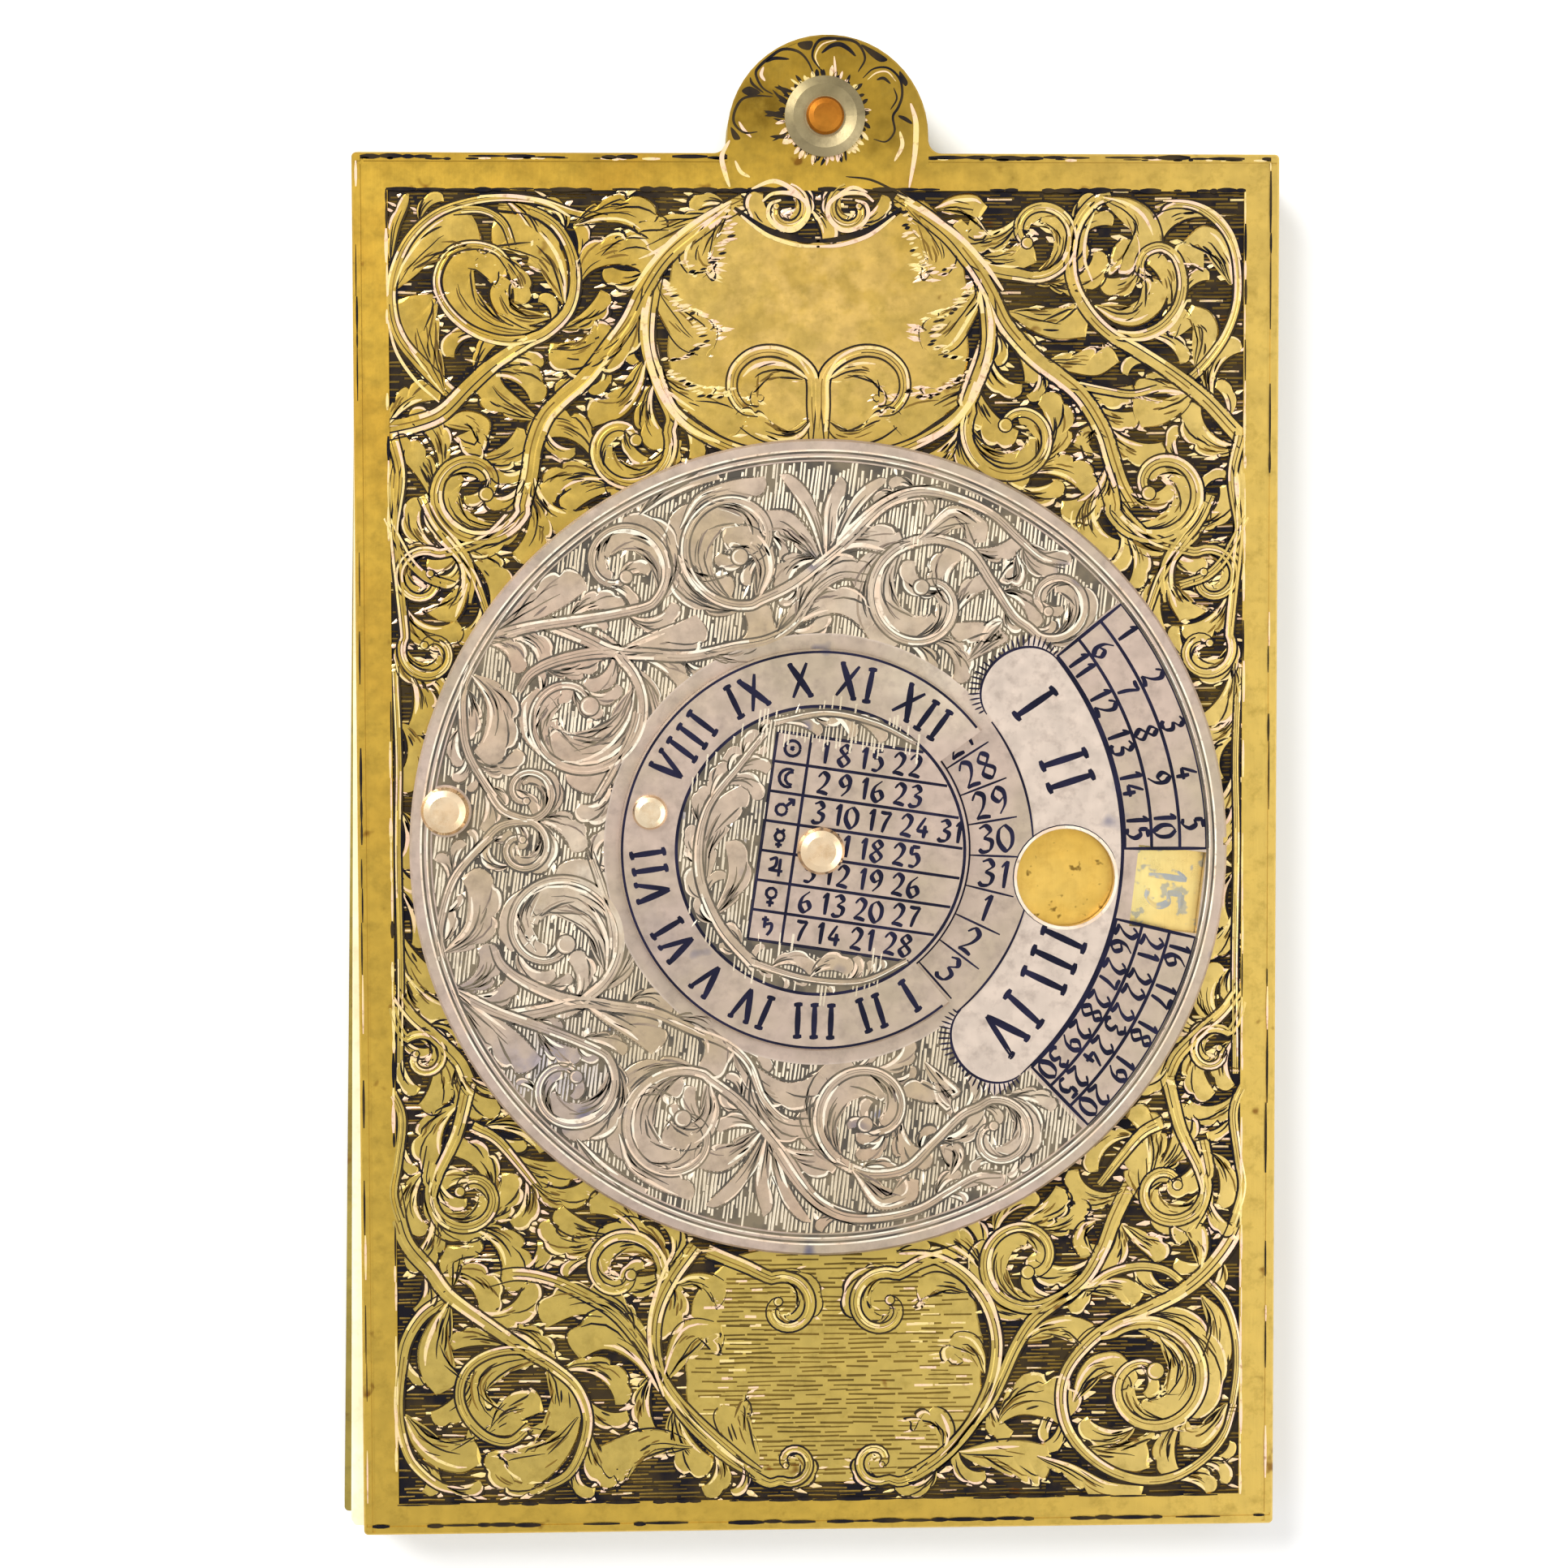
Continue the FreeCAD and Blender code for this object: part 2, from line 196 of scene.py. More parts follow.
class Piece:
    """Gathers the faces of one mesh, each with the place of its paint in the piece's list of materials."""

    def __init__(self):
        self.points = []
        self.faces = []
        self.paints = []
        self.count = 0

    def grid(self, rows, paint=METAL):
        """Quads through rows of points, facing up, in one paint or in one for each column or quad."""
        n, m, _ = rows.shape
        index = self.count + np.arange(n * m).reshape(n, m)
        quads = np.stack([index[:-1, :-1], index[:-1, 1:], index[1:, 1:], index[1:, :-1]], -1)
        a, b, c = rows[:-1, :-1], rows[:-1, 1:], rows[1:, :-1]
        turn = (b - a)[..., 0] * (c - a)[..., 1] - (b - a)[..., 1] * (c - a)[..., 0]
        if turn.sum() < 0:
            quads = quads[..., ::-1]
        self.points.append(rows.reshape(-1, 3))
        self.faces.extend(quads.reshape(-1, 4).tolist())
        self.paints.extend(np.broadcast_to(np.asarray(paint), (n - 1, m - 1)).ravel().tolist())
        self.count += n * m

    def fan(self, outline, height, paint=METAL, edge_height=None):
        """A patch that is star-shaped round its own middle, with an edge that may lie lower."""
        ring = np.column_stack([outline, np.full(len(outline), height)])
        turned = np.roll(ring, -1, axis=0)
        area = np.sum(ring[:, 0] * turned[:, 1] - turned[:, 0] * ring[:, 1])
        middle = np.append(outline.mean(axis=0), height)
        index = self.count + np.arange(len(ring))
        centre = self.count + len(ring)
        for i, j in zip(index.tolist(), np.roll(index, -1).tolist()):
            self.faces.append([i, j, centre] if area > 0 else [j, i, centre])
        self.points.append(np.vstack([ring, middle]))
        self.paints.extend([paint] * len(ring))
        self.count += len(ring) + 1
        if edge_height is not None:
            low = ring.copy()
            low[:, :2] = outline.mean(axis=0) + (outline - outline.mean(axis=0)) * 1.012
            low[:, 2] = edge_height
            self.grid(np.stack([np.vstack([ring, ring[:1]]), np.vstack([low, low[:1]])], 1), paint)

    def made(self, name, body, materials, slot):
        shown(name, np.vstack(self.points), self.faces, materials, body, self.paints)


def at_level(path, height):
    """The points of a path with a height, which is one number or a column."""
    return np.column_stack([path, np.broadcast_to(height, (len(path), 1))])


def flat_band(piece, one_side, other_side, height, paint=METAL):
    """A flat strip between two lines with the same number of points."""
    piece.grid(np.stack([at_level(one_side, height), at_level(other_side, height)], 1), paint)


def flat_ring(piece, unit, inner, outer, height, paint=METAL):
    """A flat strip between two reaches, which are numbers or columns, along unit vectors."""
    flat_band(piece, unit * inner, unit * outer, height, paint)


def swelling(path, ends):
    """How a cut swells and tapers along its path, as a column."""
    t = np.linspace(0, 1, len(path))[:, None]
    return ends + (1 - ends) * np.sin(math.pi * t) ** 0.6


def to_left(path, width, ends):
    """From the middle of a cut to its left edge. The width is one number or one for each point."""
    return directions(path)[1] * (np.reshape(width, (-1, 1)) / 2 * swelling(path, ends))


def stroke(piece, path, width, height, paint=DARK, ends=0.25):
    """A cut of the graver: a thin shallow trough that swells and tapers along its path."""
    edge = to_left(path, width, ends)
    sides = [at_level(path + edge, height + LIFT), at_level(path, height + LIFT / 3),
             at_level(path - edge, height + LIFT)]
    piece.grid(np.stack(sides, 1), paint)


def ribbon(piece, path, width, height, paint=DARK, ends=0.25):
    """A flat line on the metal that swells and tapers along its path."""
    edge = to_left(path, width, ends)
    flat_band(piece, path + edge, path - edge, height + LIFT, paint)


def blot(piece, points, height, paint=DARK):
    """A small patch of one paint inside a smooth closed outline."""
    p = np.asarray(points, float)
    closed = smooth(np.vstack([p[-1:], p, p[:2]]), 5)[5:-5]
    piece.fan(closed[:-1], height, paint)


def ridge(piece, path, width, low, high, paint=BRIGHT, ends=0.2):
    """A burr of metal left standing between two cuts."""
    edge = to_left(path, width, ends)
    crest = at_level(path, low + (high - low) * swelling(path, ends))
    piece.grid(np.stack([at_level(path + edge, low), crest, at_level(path - edge, low)], 1), paint)


class Ground:
    """What is still free of the ground that the foliage fills, on a fine raster."""

    def __init__(self, low, high, inside, cell=0.1):
        self.low = np.asarray(low, float)
        self.cell = cell
        size = np.ceil((np.asarray(high, float) - self.low) / cell).astype(int) + 1
        x = self.low[0] + cell * np.arange(size[0])
        y = self.low[1] + cell * np.arange(size[1])
        self.inside = inside(*np.meshgrid(x, y, indexing="ij"))
        self.taken = np.zeros(self.inside.shape, bool)

    def cells(self, points):
        index = np.round((points.reshape(-1, 2) - self.low) / self.cell).astype(int)
        limit = np.array(self.inside.shape) - 1
        index = np.clip(index, 0, limit)
        return index[:, 0], index[:, 1]

    def fits(self, points, taken_limit, outside_limit):
        i, j = self.cells(points)
        return 1 - self.inside[i, j].mean() <= outside_limit and self.taken[i, j].mean() <= taken_limit

    def take(self, points):
        i, j = self.cells(points)
        self.taken[i, j] = True

    def filled(self):
        return (self.taken & self.inside).sum() / max(self.inside.sum(), 1)


class Leaf:
    """One acanthus leaf: a spine, and lobes on its outer side whose flutes run back to the stem."""

    def __init__(self, spine, width, side, lobes, depth=0.30, lean=0.5):
        count = max(13, lobes * 7 + 1)
        self.spine = resampled(np.asarray(spine, float), count)
        self.t = np.linspace(0, 1, count)
        self.tangent, normal = directions(self.spine)
        self.out = normal * side
        self.lobes = lobes
        self.lean = lean
        self.reach = width * 1.95 * np.clip(self.t, 0.01, 1) ** 0.62 * np.clip(1 - self.t, 0, 1) ** 0.52
        phase = (self.t**0.9 * lobes) % 1.0
        self.bulge = (1 - np.abs(2 * phase - 1) ** 2.6) ** 0.5
        self.edge = self.reach * (1 - depth * (1 - self.bulge))

    def rows(self, index, shares):
        """Places on the leaf at rows of the spine and at shares of the way to the lobed edge."""
        s = np.asarray(shares, float)[None, :]
        wide = s * ((1 - s**2) * self.reach[index][:, None] + s**2 * self.edge[index][:, None])
        base = self.spine[index][:, None, :]
        return base + self.out[index][:, None, :] * wide[..., None] + (
            self.tangent[index][:, None, :] * (self.lean * wide * s)[..., None])

    def spot(self, t, s):
        """The places on the leaf at shares t of the spine and shares s of the way to the lobed edge."""
        t, s = np.broadcast_arrays(np.atleast_1d(np.asarray(t, float)), np.atleast_1d(np.asarray(s, float)))
        whole = np.interp(t, self.t, self.reach)
        wide = s * ((1 - s**2) * whole + s**2 * np.interp(t, self.t, self.edge))
        values = []
        for column in (0, 1):
            base = np.interp(t, self.t, self.spine[:, column])
            out = np.interp(t, self.t, self.out[:, column])
            along = np.interp(t, self.t, self.tangent[:, column])
            values.append(base + out * wide + along * self.lean * wide * s)
        return np.stack(values, -1)

    def rough_cover(self):
        index = np.linspace(2, len(self.t) - 2, 9).astype(int)
        return self.rows(index, (0.05, 0.3, 0.55, 0.8, 1.0))

    def cover(self):
        t = np.repeat(np.linspace(0.01, 0.99, 44), 20)
        s = np.tile(np.linspace(-0.03, 1.0, 20), 44)
        return self.spot(t, s)

    def relief(self, piece, low, high):
        """The leaf's body, whose flutes sink a little towards the notches."""
        shares = np.array([0.0, 0.04, 0.2, 0.5, 0.8, 0.95, 1.0])
        level = np.array([0.0, 0.93, 1.0, 1.0, 1.0, 0.93, 0.0])
        index = np.arange(len(self.t))
        place = self.rows(index, shares)
        dip = 1 - 0.3 * (1 - self.bulge)[:, None] * shares[None, :] ** 2
        z = low + (high - low) * level[None, :] * dip
        z[0] = z[-1] = low
        piece.grid(np.concatenate([place, z[..., None]], 2), METAL)

    def edging(self, piece, inner, outer, start, end, height, paint):
        """A narrow strip along the leaf, between two shares of the way to the lobed edge."""
        t = np.linspace(start, end, self.lobes * 6 + 1)
        flat_band(piece, self.spot(t, inner), self.spot(t, outer), height, paint)

    def cuts(self, piece, high, rng, bright, dark):
        """The outline of the leaf, flutes cut back from the notches, and lines along the inner edge."""
        wide = max(self.reach.max(), 0.4)
        line = rng.uniform(0.08, 0.15) / wide
        self.edging(piece, 1.0, 1.0 + line, 0.02, 0.98, high - 0.0015, DARK)
        self.edging(piece, -line, 0.0, 0.02, 0.9, high - 0.0015, DARK)
        if rng.random() < bright * 0.8:
            begin = rng.uniform(0.03, 0.4)
            rim = rng.uniform(0.09, 0.2) / wide
            self.edging(piece, 0.985 - rim, 0.985, begin, rng.uniform(0.7, 0.97), high + 0.003, BRIGHT)
        q = np.linspace(0, 1, 5)
        for k in range(1, self.lobes):
            if rng.random() > dark:
                continue
            notch = (k / self.lobes) ** (1 / 0.9)
            back = min(notch * 0.7, rng.uniform(0.7, 1.2) / self.lobes)
            path = self.spot(notch - back * q**1.3, 0.92 - rng.uniform(0.35, 0.6) * q)
            ribbon(piece, path, rng.uniform(LINE, BOLD), high, rng.choice((DARK, DARK, SOFT)))
        q = np.linspace(0.02, rng.uniform(0.55, 0.9), 9)
        if rng.random() < bright:
            path = self.spot(q, 0.10 + 0.05 * np.sin(math.pi * q))
            ribbon(piece, path, BOLD * rng.uniform(1.0, 1.7), high, BRIGHT)
        if rng.random() < 0.8:
            path = self.spot(q * 0.85, 0.27 + 0.14 * q)
            ribbon(piece, path, LINE * rng.uniform(0.8, 1.5), high, DARK)
        if rng.random() < dark:
            path = self.spot(q * 0.6, 0.42 + 0.2 * q)
            ribbon(piece, path, LINE, high, DARK)
        if wide < 1.1:
            return
        for place in (0.14, 0.24, 0.36, 0.48, 0.6):
            begin = rng.uniform(0.06, 0.5)
            path = self.spot(begin + q * rng.uniform(0.15, 0.35), place + 0.12 * q)
            ribbon(piece, path, rng.uniform(FINE, BOLD), high, rng.choice((DARK, SOFT, SOFT)))

    def flecks(self, piece, high, rng, share, drift):
        """Short bright cuts that stand off the lobed edge, drawn along the strokes of the ground."""
        count = self.lobes * 2
        for k in range(count):
            if rng.random() > share:
                continue
            t = (k + rng.random()) / count
            start = self.spot(t, 0.98)[0]
            out = start - self.spot(t, 0.6)[0]
            out /= max(np.hypot(*out), 1e-6)
            lie = np.asarray(drift) * (1 if np.dot(out, drift) > 0 else -1)
            along = out * 0.4 + lie * 0.6
            path = start + np.outer(np.linspace(-0.2, 1, 3), along * rng.uniform(0.35, 1.15))
            ridge(piece, path, rng.uniform(0.18, 0.4), high - 0.03, high + 0.004, BRIGHT)


class Stem:
    """A tapering double-edged band that leaves grow from."""

    SWELL = 1.1

    def __init__(self, path, start_width, end_width, bud=0.0):
        self.bud = bud
        count = max(10, int(length_of(path) / 0.28))
        self.path = resampled(path, count)
        self.t = np.linspace(0, 1, count)
        self.tangent, self.normal = directions(self.path)
        self.width = self.SWELL * (start_width + (end_width - start_width) * self.t**0.8)

    def line(self, share):
        return self.path + self.normal * (self.width / 2 * share)[:, None]

    def cover(self):
        return np.vstack([self.line(s) for s in np.linspace(-1.15, 1.15, 11)])

    def relief(self, piece, low, high, rng, bright):
        shares = (-1.0, -0.92, -0.42, -0.24, 0.22, 0.4, 0.92, 1.0)
        level = (0.0, 0.93, 1.0, 0.9, 0.9, 1.0, 0.93, 0.0)
        taper = np.clip(np.minimum(self.t, 1 - self.t) * 12, 0.15, 1)[:, None]
        rows = []
        for share, lift in zip(shares, level):
            rows.append(np.hstack([self.line(share), low + (high - low) * lift * taper]))
        paints = np.full((len(self.t) - 1, 7), METAL)
        sides = (1, 2, 4, 5) if rng.random() < 0.5 else (5, 4, 2, 1)
        shares_cut = (bright, 0.7, 0.7, bright * 0.3)
        for column, paint, share in zip(sides, (BRIGHT, DARK, SOFT, BRIGHT), shares_cut):
            row = 0
            while row < len(paints):
                run = rng.randint(4, 16)
                if rng.random() < share:
                    paints[row:row + run, column] = paint
                row += run
        piece.grid(np.stack(rows, 1), paints)
        for side in (-1.0, 1.0):
            outside = self.line(side) + self.normal * (side * 0.06)
            ribbon(piece, outside, 0.13, high - 0.02, DARK, 0.6)
        if self.bud:
            angle = np.linspace(0, 2 * math.pi, 14, endpoint=False)
            round_end = self.path[-1] + self.bud * units(angle)
            piece.fan(round_end, high + 0.002, METAL, low)
            glint = ring_arc(self.bud * 0.8, 100, 290, self.path[-1], 0.15)
            outline = ring_arc(self.bud * 1.08, 0, 360, self.path[-1], 0.2)
            ribbon(piece, glint, 0.12, high, BRIGHT)
            ribbon(piece, outline, 0.09, high - 0.002, DARK, 1.0)


def grown(stem, at, side, length, turn, bend, width_share, lobes):
    """A leaf that leaves a stem at one point, turned out from it, and bends over its length."""
    i = int(at * (len(stem.path) - 1))
    heading = math.atan2(stem.tangent[i, 1], stem.tangent[i, 0]) + side * math.radians(turn)
    start = stem.path[i] + stem.normal[i] * side * stem.width[i] * 0.3
    steps = 14
    angles = heading + side * math.radians(bend) * np.linspace(0, 1, steps) ** 1.3
    moves = units(angles) * (length / steps)
    spine = np.vstack([start, start + np.cumsum(moves, axis=0)])
    return Leaf(spine, length * width_share, -side if bend > 0 else side, lobes)


def leafed(ground, stems, rng, lengths, lobe_length=1.05, tries=3, spacing=0.8, taken_limit=0.14,
           outside_limit=0.05, widths=(0.36, 0.52)):
    """Leaves that fill the free ground from the stems, the largest first."""
    leaves = []
    for length in lengths:
        for stem in stems:
            count = max(2, int(length_of(stem.path) / spacing))
            for k in range(count):
                for side in (1, -1):
                    for _ in range(tries):
                        size = length * rng.uniform(0.85, 1.1)
                        bend = rng.choice((1, 1, -1)) * rng.uniform(25, 100)
                        leaf = grown(stem, (k + rng.random()) / count, side, size, rng.uniform(12, 50), bend,
                                     rng.uniform(*widths), max(2, min(6, round(size / lobe_length))))
                        if ground.fits(leaf.rough_cover()[2:], taken_limit, outside_limit):
                            ground.take(leaf.cover())
                            leaves.append(leaf)
                            break
    return leaves


def foliage(piece, cuts, ground, stems, drawn, low, high, rng, lengths, flecks=0.7, bright=0.7, dark=0.6,
            drift=(1.0, 0.0), stem_bright=0.75, holes=(), **limits):
    """Stems, the listed leaves and the leaves that fill the rest, with their cuts."""
    for stem in stems:
        ground.take(stem.cover())
    for leaf in drawn:
        ground.take(leaf.cover())
    for x, y, radius in holes:
        for share in (0.25, 0.5, 0.75, 1.0):
            ground.take(ring_arc(radius * share, 0, 360, (x, y), 0.08))
    leaves = list(drawn) + leafed(ground, stems, rng, lengths, **limits)
    layer = LEAF_LAYERS / max(len(leaves), 1)
    for number, leaf in enumerate(reversed(leaves)):
        top = high - LEAF_LAYERS + layer * number
        leaf.relief(piece, low, top)
        leaf.cuts(cuts, top, rng, bright, dark)
        leaf.flecks(cuts, top, rng, flecks, drift)
    for stem in stems:
        stem.relief(piece, low, high + STEM_RISE, rng, stem_bright)


# The scroll work of the plate: lead points, centre, radius, start, sweep, end, widths.
# What both halves share is drawn on the left and mirrored, and the corners are drawn one by one.
SHARED_SCROLLS = (
    (((-18.7, 24.3), (-19.2, 22.3)), (-22.2, 23.4), 3.4, -25, -360, 0.22, (1.0, 0.6)),
    ((), (-2.1, 41.4), 1.5, 100, -300, 0.4, (0.6, 0.4)),
    (((-19.4, 22.3), (-21.6, 20.2)), (-25.6, 17.6), 1.9, 60, 340, 0.3, (0.7, 0.4)),
    (((-27.2, 26.0), (-27.6, 22.5)), (-25.2, 12.9), 1.9, 150, 340, 0.3, (0.7, 0.4)),
    (((-28.0, -9.4), (-27.6, -11.2)), (-25.9, -13.5), 1.6, 130, -340, 0.3, (0.6, 0.4)),
    (((-25.2, -19.4), (-25.6, -21.4)), (-23.0, -22.6), 2.5, 165, 350, 0.25, (0.8, 0.45)),
)
LEFT_SCROLLS = (
    (((-10.9, 32.8), (-10.3, 30.1), (-9.5, 28.1)), (-12.5, 26.2), 3.0, 18, -350, 0.25, (0.9, 0.5)),
    (((-9.9, -26.6), (-10.4, -28.0)), (-13.1, -27.7), 2.8, -10, 350, 0.25, (0.8, 0.45)),
    (((-7.4, -26.4), (-5.0, -27.4)), (-2.4, -30.2), 2.1, 112, -340, 0.25, (0.8, 0.45)),
    (((-4.4, -41.4), (-3.4, -41.9)), (-1.9, -40.5), 1.4, -120, 330, 0.3, (0.55, 0.35)),
)
RIGHT_SCROLLS = (
    (((10.0, 38.3), (11.4, 37.5)), (14.2, 39.8), 2.8, -110, 330, 0.3, (0.8, 0.45)),
    (((10.9, 32.8), (10.1, 30.8), (9.5, 29.0)), (12.8, 27.0), 3.3, 152, 350, 0.25, (0.9, 0.5)),
    (((17.6, -28.3), (16.7, -29.3)), (13.6, -27.2), 3.3, -55, -390, 0.25, (0.8, 0.45)),
    (((17.0, -33.4), (18.0, -32.3)), (21.7, -35.5), 4.2, 125, -425, 0.22, (0.9, 0.5)),
    (((9.2, -26.6), (6.8, -27.2)), (4.2, -30.2), 2.3, 68, 340, 0.25, (0.8, 0.45)),
    (((6.2, -41.6), (5.2, -41.9)), (3.7, -40.5), 1.4, -60, -330, 0.3, (0.55, 0.35)),
)

# Stems without a volute: points, then the widths at both ends
SHARED_STEMS = (
    (((-10.6, 37.3), (-11.0, 34.7), (-11.0, 32.4), (-10.3, 30.3), (-9.4, 28.4), (-7.6, 27.0), (-5.2, 25.9),
      (-2.6, 25.5)), (1.0, 0.6)),
    (((-0.1, 26.2), (-0.3, 28.6), (-0.4, 30.6), (-1.3, 31.7), (-2.8, 32.3), (-4.3, 32.1), (-5.4, 31.1),
      (-5.6, 29.7), (-4.9, 28.6), (-3.9, 28.4)), (0.8, 0.5)),
    (((-27.6, 27.0), (-27.0, 24.2), (-27.4, 20.6), (-26.6, 19.6)), (0.7, 0.35)),
    (((-24.6, 20.6), (-22.5, 18.0), (-21.3, 14.8)), (0.7, 0.35)),
    (((-27.5, 12.0), (-27.3, 6.0), (-27.4, 0.0), (-27.3, -8.0), (-27.4, -15.0)), (0.35, 0.35)),
    (((-25.6, 23.0), (-24.8, 21.4), (-23.8, 20.1), (-22.9, 18.7), (-22.7, 17.4), (-23.0, 16.1)),
     (0.6, 0.9)),
    (((-28.2, 22.1), (-27.2, 20.1), (-26.4, 18.7), (-25.3, 17.7), (-23.6, 17.1)), (0.5, 0.5)),
    (((-27.9, -8.9), (-26.7, -10.7), (-25.3, -12.0), (-23.6, -13.7), (-22.9, -15.2)), (0.6, 0.8)),
    (((-22.9, -15.2), (-23.6, -18.1), (-24.2, -19.6), (-25.1, -21.5), (-25.4, -23.3), (-24.5, -25.1)),
     (0.8, 0.5)),
    (((-28.2, -15.2), (-27.3, -17.4), (-27.6, -20.4), (-27.9, -22.6), (-27.2, -25.1)), (0.5, 0.5)),
    (((-22.7, -18.1), (-21.2, -18.9), (-19.8, -20.5), (-18.4, -22.3)), (0.7, 0.4)),
)
LEFT_STEMS = (
    (((-27.9, 27.2), (-25.7, 27.7), (-24.2, 28.4), (-22.5, 30.1), (-20.9, 31.5), (-18.9, 32.8),
      (-17.5, 33.5), (-16.2, 34.8), (-15.7, 36.5), (-15.9, 38.5), (-16.9, 40.3), (-18.6, 41.3),
      (-20.6, 41.6)), (1.1, 0.45)),
    (((-23.5, 29.4), (-25.3, 31.1), (-26.9, 33.0), (-27.5, 34.9), (-27.4, 37.1), (-26.4, 39.4),
      (-24.7, 41.0), (-22.6, 41.8), (-20.4, 42.1), (-18.0, 41.9), (-15.8, 41.2), (-13.6, 40.8)),
     (0.8, 0.3)),
    (((-23.5, 41.3), (-21.6, 41.3), (-20.3, 40.5), (-19.7, 39.0)), (0.45, 0.3)),
    (((-17.6, 33.4), (-19.3, 33.0), (-21.0, 33.1), (-22.8, 33.9), (-24.2, 35.4), (-24.6, 37.0),
      (-23.8, 38.6), (-22.3, 39.1), (-20.7, 38.7), (-19.8, 37.6)), (0.5, 0.4)),
    (((-4.8, 41.9), (-6.3, 41.1), (-8.8, 39.3), (-10.2, 37.9), (-11.4, 36.0), (-12.3, 34.2), (-13.6, 32.4),
      (-15.0, 30.6), (-16.6, 29.2), (-17.7, 28.0), (-18.4, 26.2), (-18.7, 24.3), (-19.2, 22.3)),
     (0.9, 1.0)),
    (((-28.0, -22.0), (-27.2, -25.4), (-25.5, -27.6), (-24.3, -29.2), (-21.8, -31.1), (-19.4, -32.8),
      (-17.5, -34.0), (-16.0, -35.4), (-15.3, -37.4), (-15.7, -39.5), (-16.7, -41.2), (-18.7, -42.2)),
     (1.0, 0.5)),
    (((-18.0, -33.3), (-19.9, -32.8), (-21.8, -33.1), (-23.2, -34.1), (-23.7, -35.7), (-23.2, -37.3),
      (-21.9, -38.6), (-20.4, -38.9), (-19.1, -37.9)), (0.5, 0.5)),
    (((-24.3, -29.3), (-26.0, -30.4), (-27.1, -32.1), (-27.5, -34.0), (-27.7, -36.4), (-27.5, -38.3),
      (-26.8, -40.2), (-25.2, -41.7), (-23.5, -42.2)), (0.8, 0.45)),
    (((-21.8, -28.2), (-19.9, -27.8), (-17.7, -28.2), (-15.5, -29.2), (-13.6, -30.4), (-12.1, -32.1),
      (-10.9, -34.0), (-9.7, -35.9), (-8.2, -37.6), (-5.8, -39.8), (-4.1, -41.2)), (0.7, 0.6)),
    (((-8.2, -26.1), (-9.7, -28.2), (-10.7, -30.4), (-10.9, -32.6), (-10.4, -35.0), (-9.5, -36.6),
      (-8.2, -38.3), (-6.1, -40.2), (-4.1, -41.4)), (0.9, 0.5)),
)
RIGHT_STEMS = (
    (((5.0, 42.2), (7.0, 40.9), (8.5, 39.7), (9.6, 38.4), (10.4, 37.3), (11.2, 35.9), (12.0, 34.2),
      (13.0, 32.9), (14.2, 31.7), (15.7, 30.6), (16.9, 29.6), (17.8, 28.4), (18.6, 26.9), (19.1, 25.3),
      (19.7, 23.6), (20.5, 22.2)), (0.9, 1.0)),
    (((27.9, 26.4), (26.9, 27.4), (25.3, 29.1), (23.3, 30.7), (21.0, 32.2), (19.0, 33.4), (17.6, 34.8),
      (16.6, 36.6), (16.4, 38.5), (16.8, 40.4), (17.8, 41.8), (19.0, 42.4)), (1.0, 0.6)),
    (((18.4, 33.8), (19.4, 33.4), (20.8, 33.3), (22.3, 33.9), (23.4, 35.2), (23.7, 36.8), (23.3, 38.3),
      (22.3, 39.0), (21.2, 38.6), (20.9, 37.6), (21.5, 37.0)), (0.6, 0.5)),
    (((24.0, 30.3), (25.3, 31.6), (26.5, 33.3), (27.2, 35.2), (27.3, 37.2), (27.0, 39.0), (26.2, 40.4),
      (24.8, 41.5), (23.3, 41.8), (22.0, 41.5)), (0.5, 0.4)),
    (((16.4, 30.2), (18.4, 29.8), (20.4, 29.5), (22.1, 29.9)), (0.5, 0.3)),
    (((20.5, -22.2), (19.4, -24.5), (18.6, -26.6), (17.4, -28.6), (15.6, -30.0), (14.0, -31.3),
      (12.9, -33.0), (12.0, -35.0), (11.2, -36.6), (9.9, -38.2), (8.4, -40.0), (6.6, -41.5)), (0.9, 0.6)),
    (((27.9, -24.2), (27.0, -26.2), (25.4, -28.2), (23.6, -29.6), (21.5, -30.6), (19.3, -31.6),
      (17.6, -32.9), (16.3, -34.6), (15.9, -36.4), (16.3, -38.4), (17.5, -40.1), (19.3, -41.4),
      (21.4, -42.0), (23.4, -41.8), (25.3, -40.7), (26.7, -39.1), (27.4, -37.0)), (1.0, 0.4)),
    (((25.4, -28.6), (26.8, -30.2), (27.5, -32.4), (27.6, -34.6), (27.3, -37.0)), (0.5, 0.4)),
    (((17.4, -29.4), (19.0, -28.2), (21.0, -27.7), (22.8, -28.0), (24.0, -28.9)), (0.5, 0.4)),
    (((5.0, -26.9), (7.4, -27.0), (9.4, -28.1), (10.9, -30.0), (11.6, -32.2), (11.5, -34.4), (10.8, -36.6),
      (9.6, -38.6), (7.8, -40.4), (5.8, -41.7)), (0.6, 0.8)),
)

# Leaves listed one by one: the spine, the width, the side of the lobes and their number
SHARED_LEAVES = (
    (((-5.6, 41.8), (-7.4, 40.7), (-8.6, 39.4), (-8.9, 38.1), (-8.0, 36.8)), 2.1, 1, 5),
    (((-10.6, 37.1), (-10.7, 35.7), (-10.1, 34.2), (-8.9, 32.5), (-7.1, 31.9)), 2.3, 1, 5),
    (((-10.7, 30.8), (-9.5, 29.1), (-7.4, 27.6), (-5.8, 26.5)), 2.1, 1, 4),
    (((-0.5, 30.4), (-1.5, 31.4), (-2.8, 31.9), (-4.2, 31.7), (-5.1, 30.8), (-5.2, 29.7)), 2.2, 1, 5),
    (((-0.3, 28.0), (-1.0, 26.8), (-2.3, 26.3), (-4.0, 26.7), (-5.6, 27.8)), 1.4, -1, 4),
    (((-22.7, 17.4), (-22.9, 15.9), (-23.6, 14.7)), 2.0, -1, 3),
)
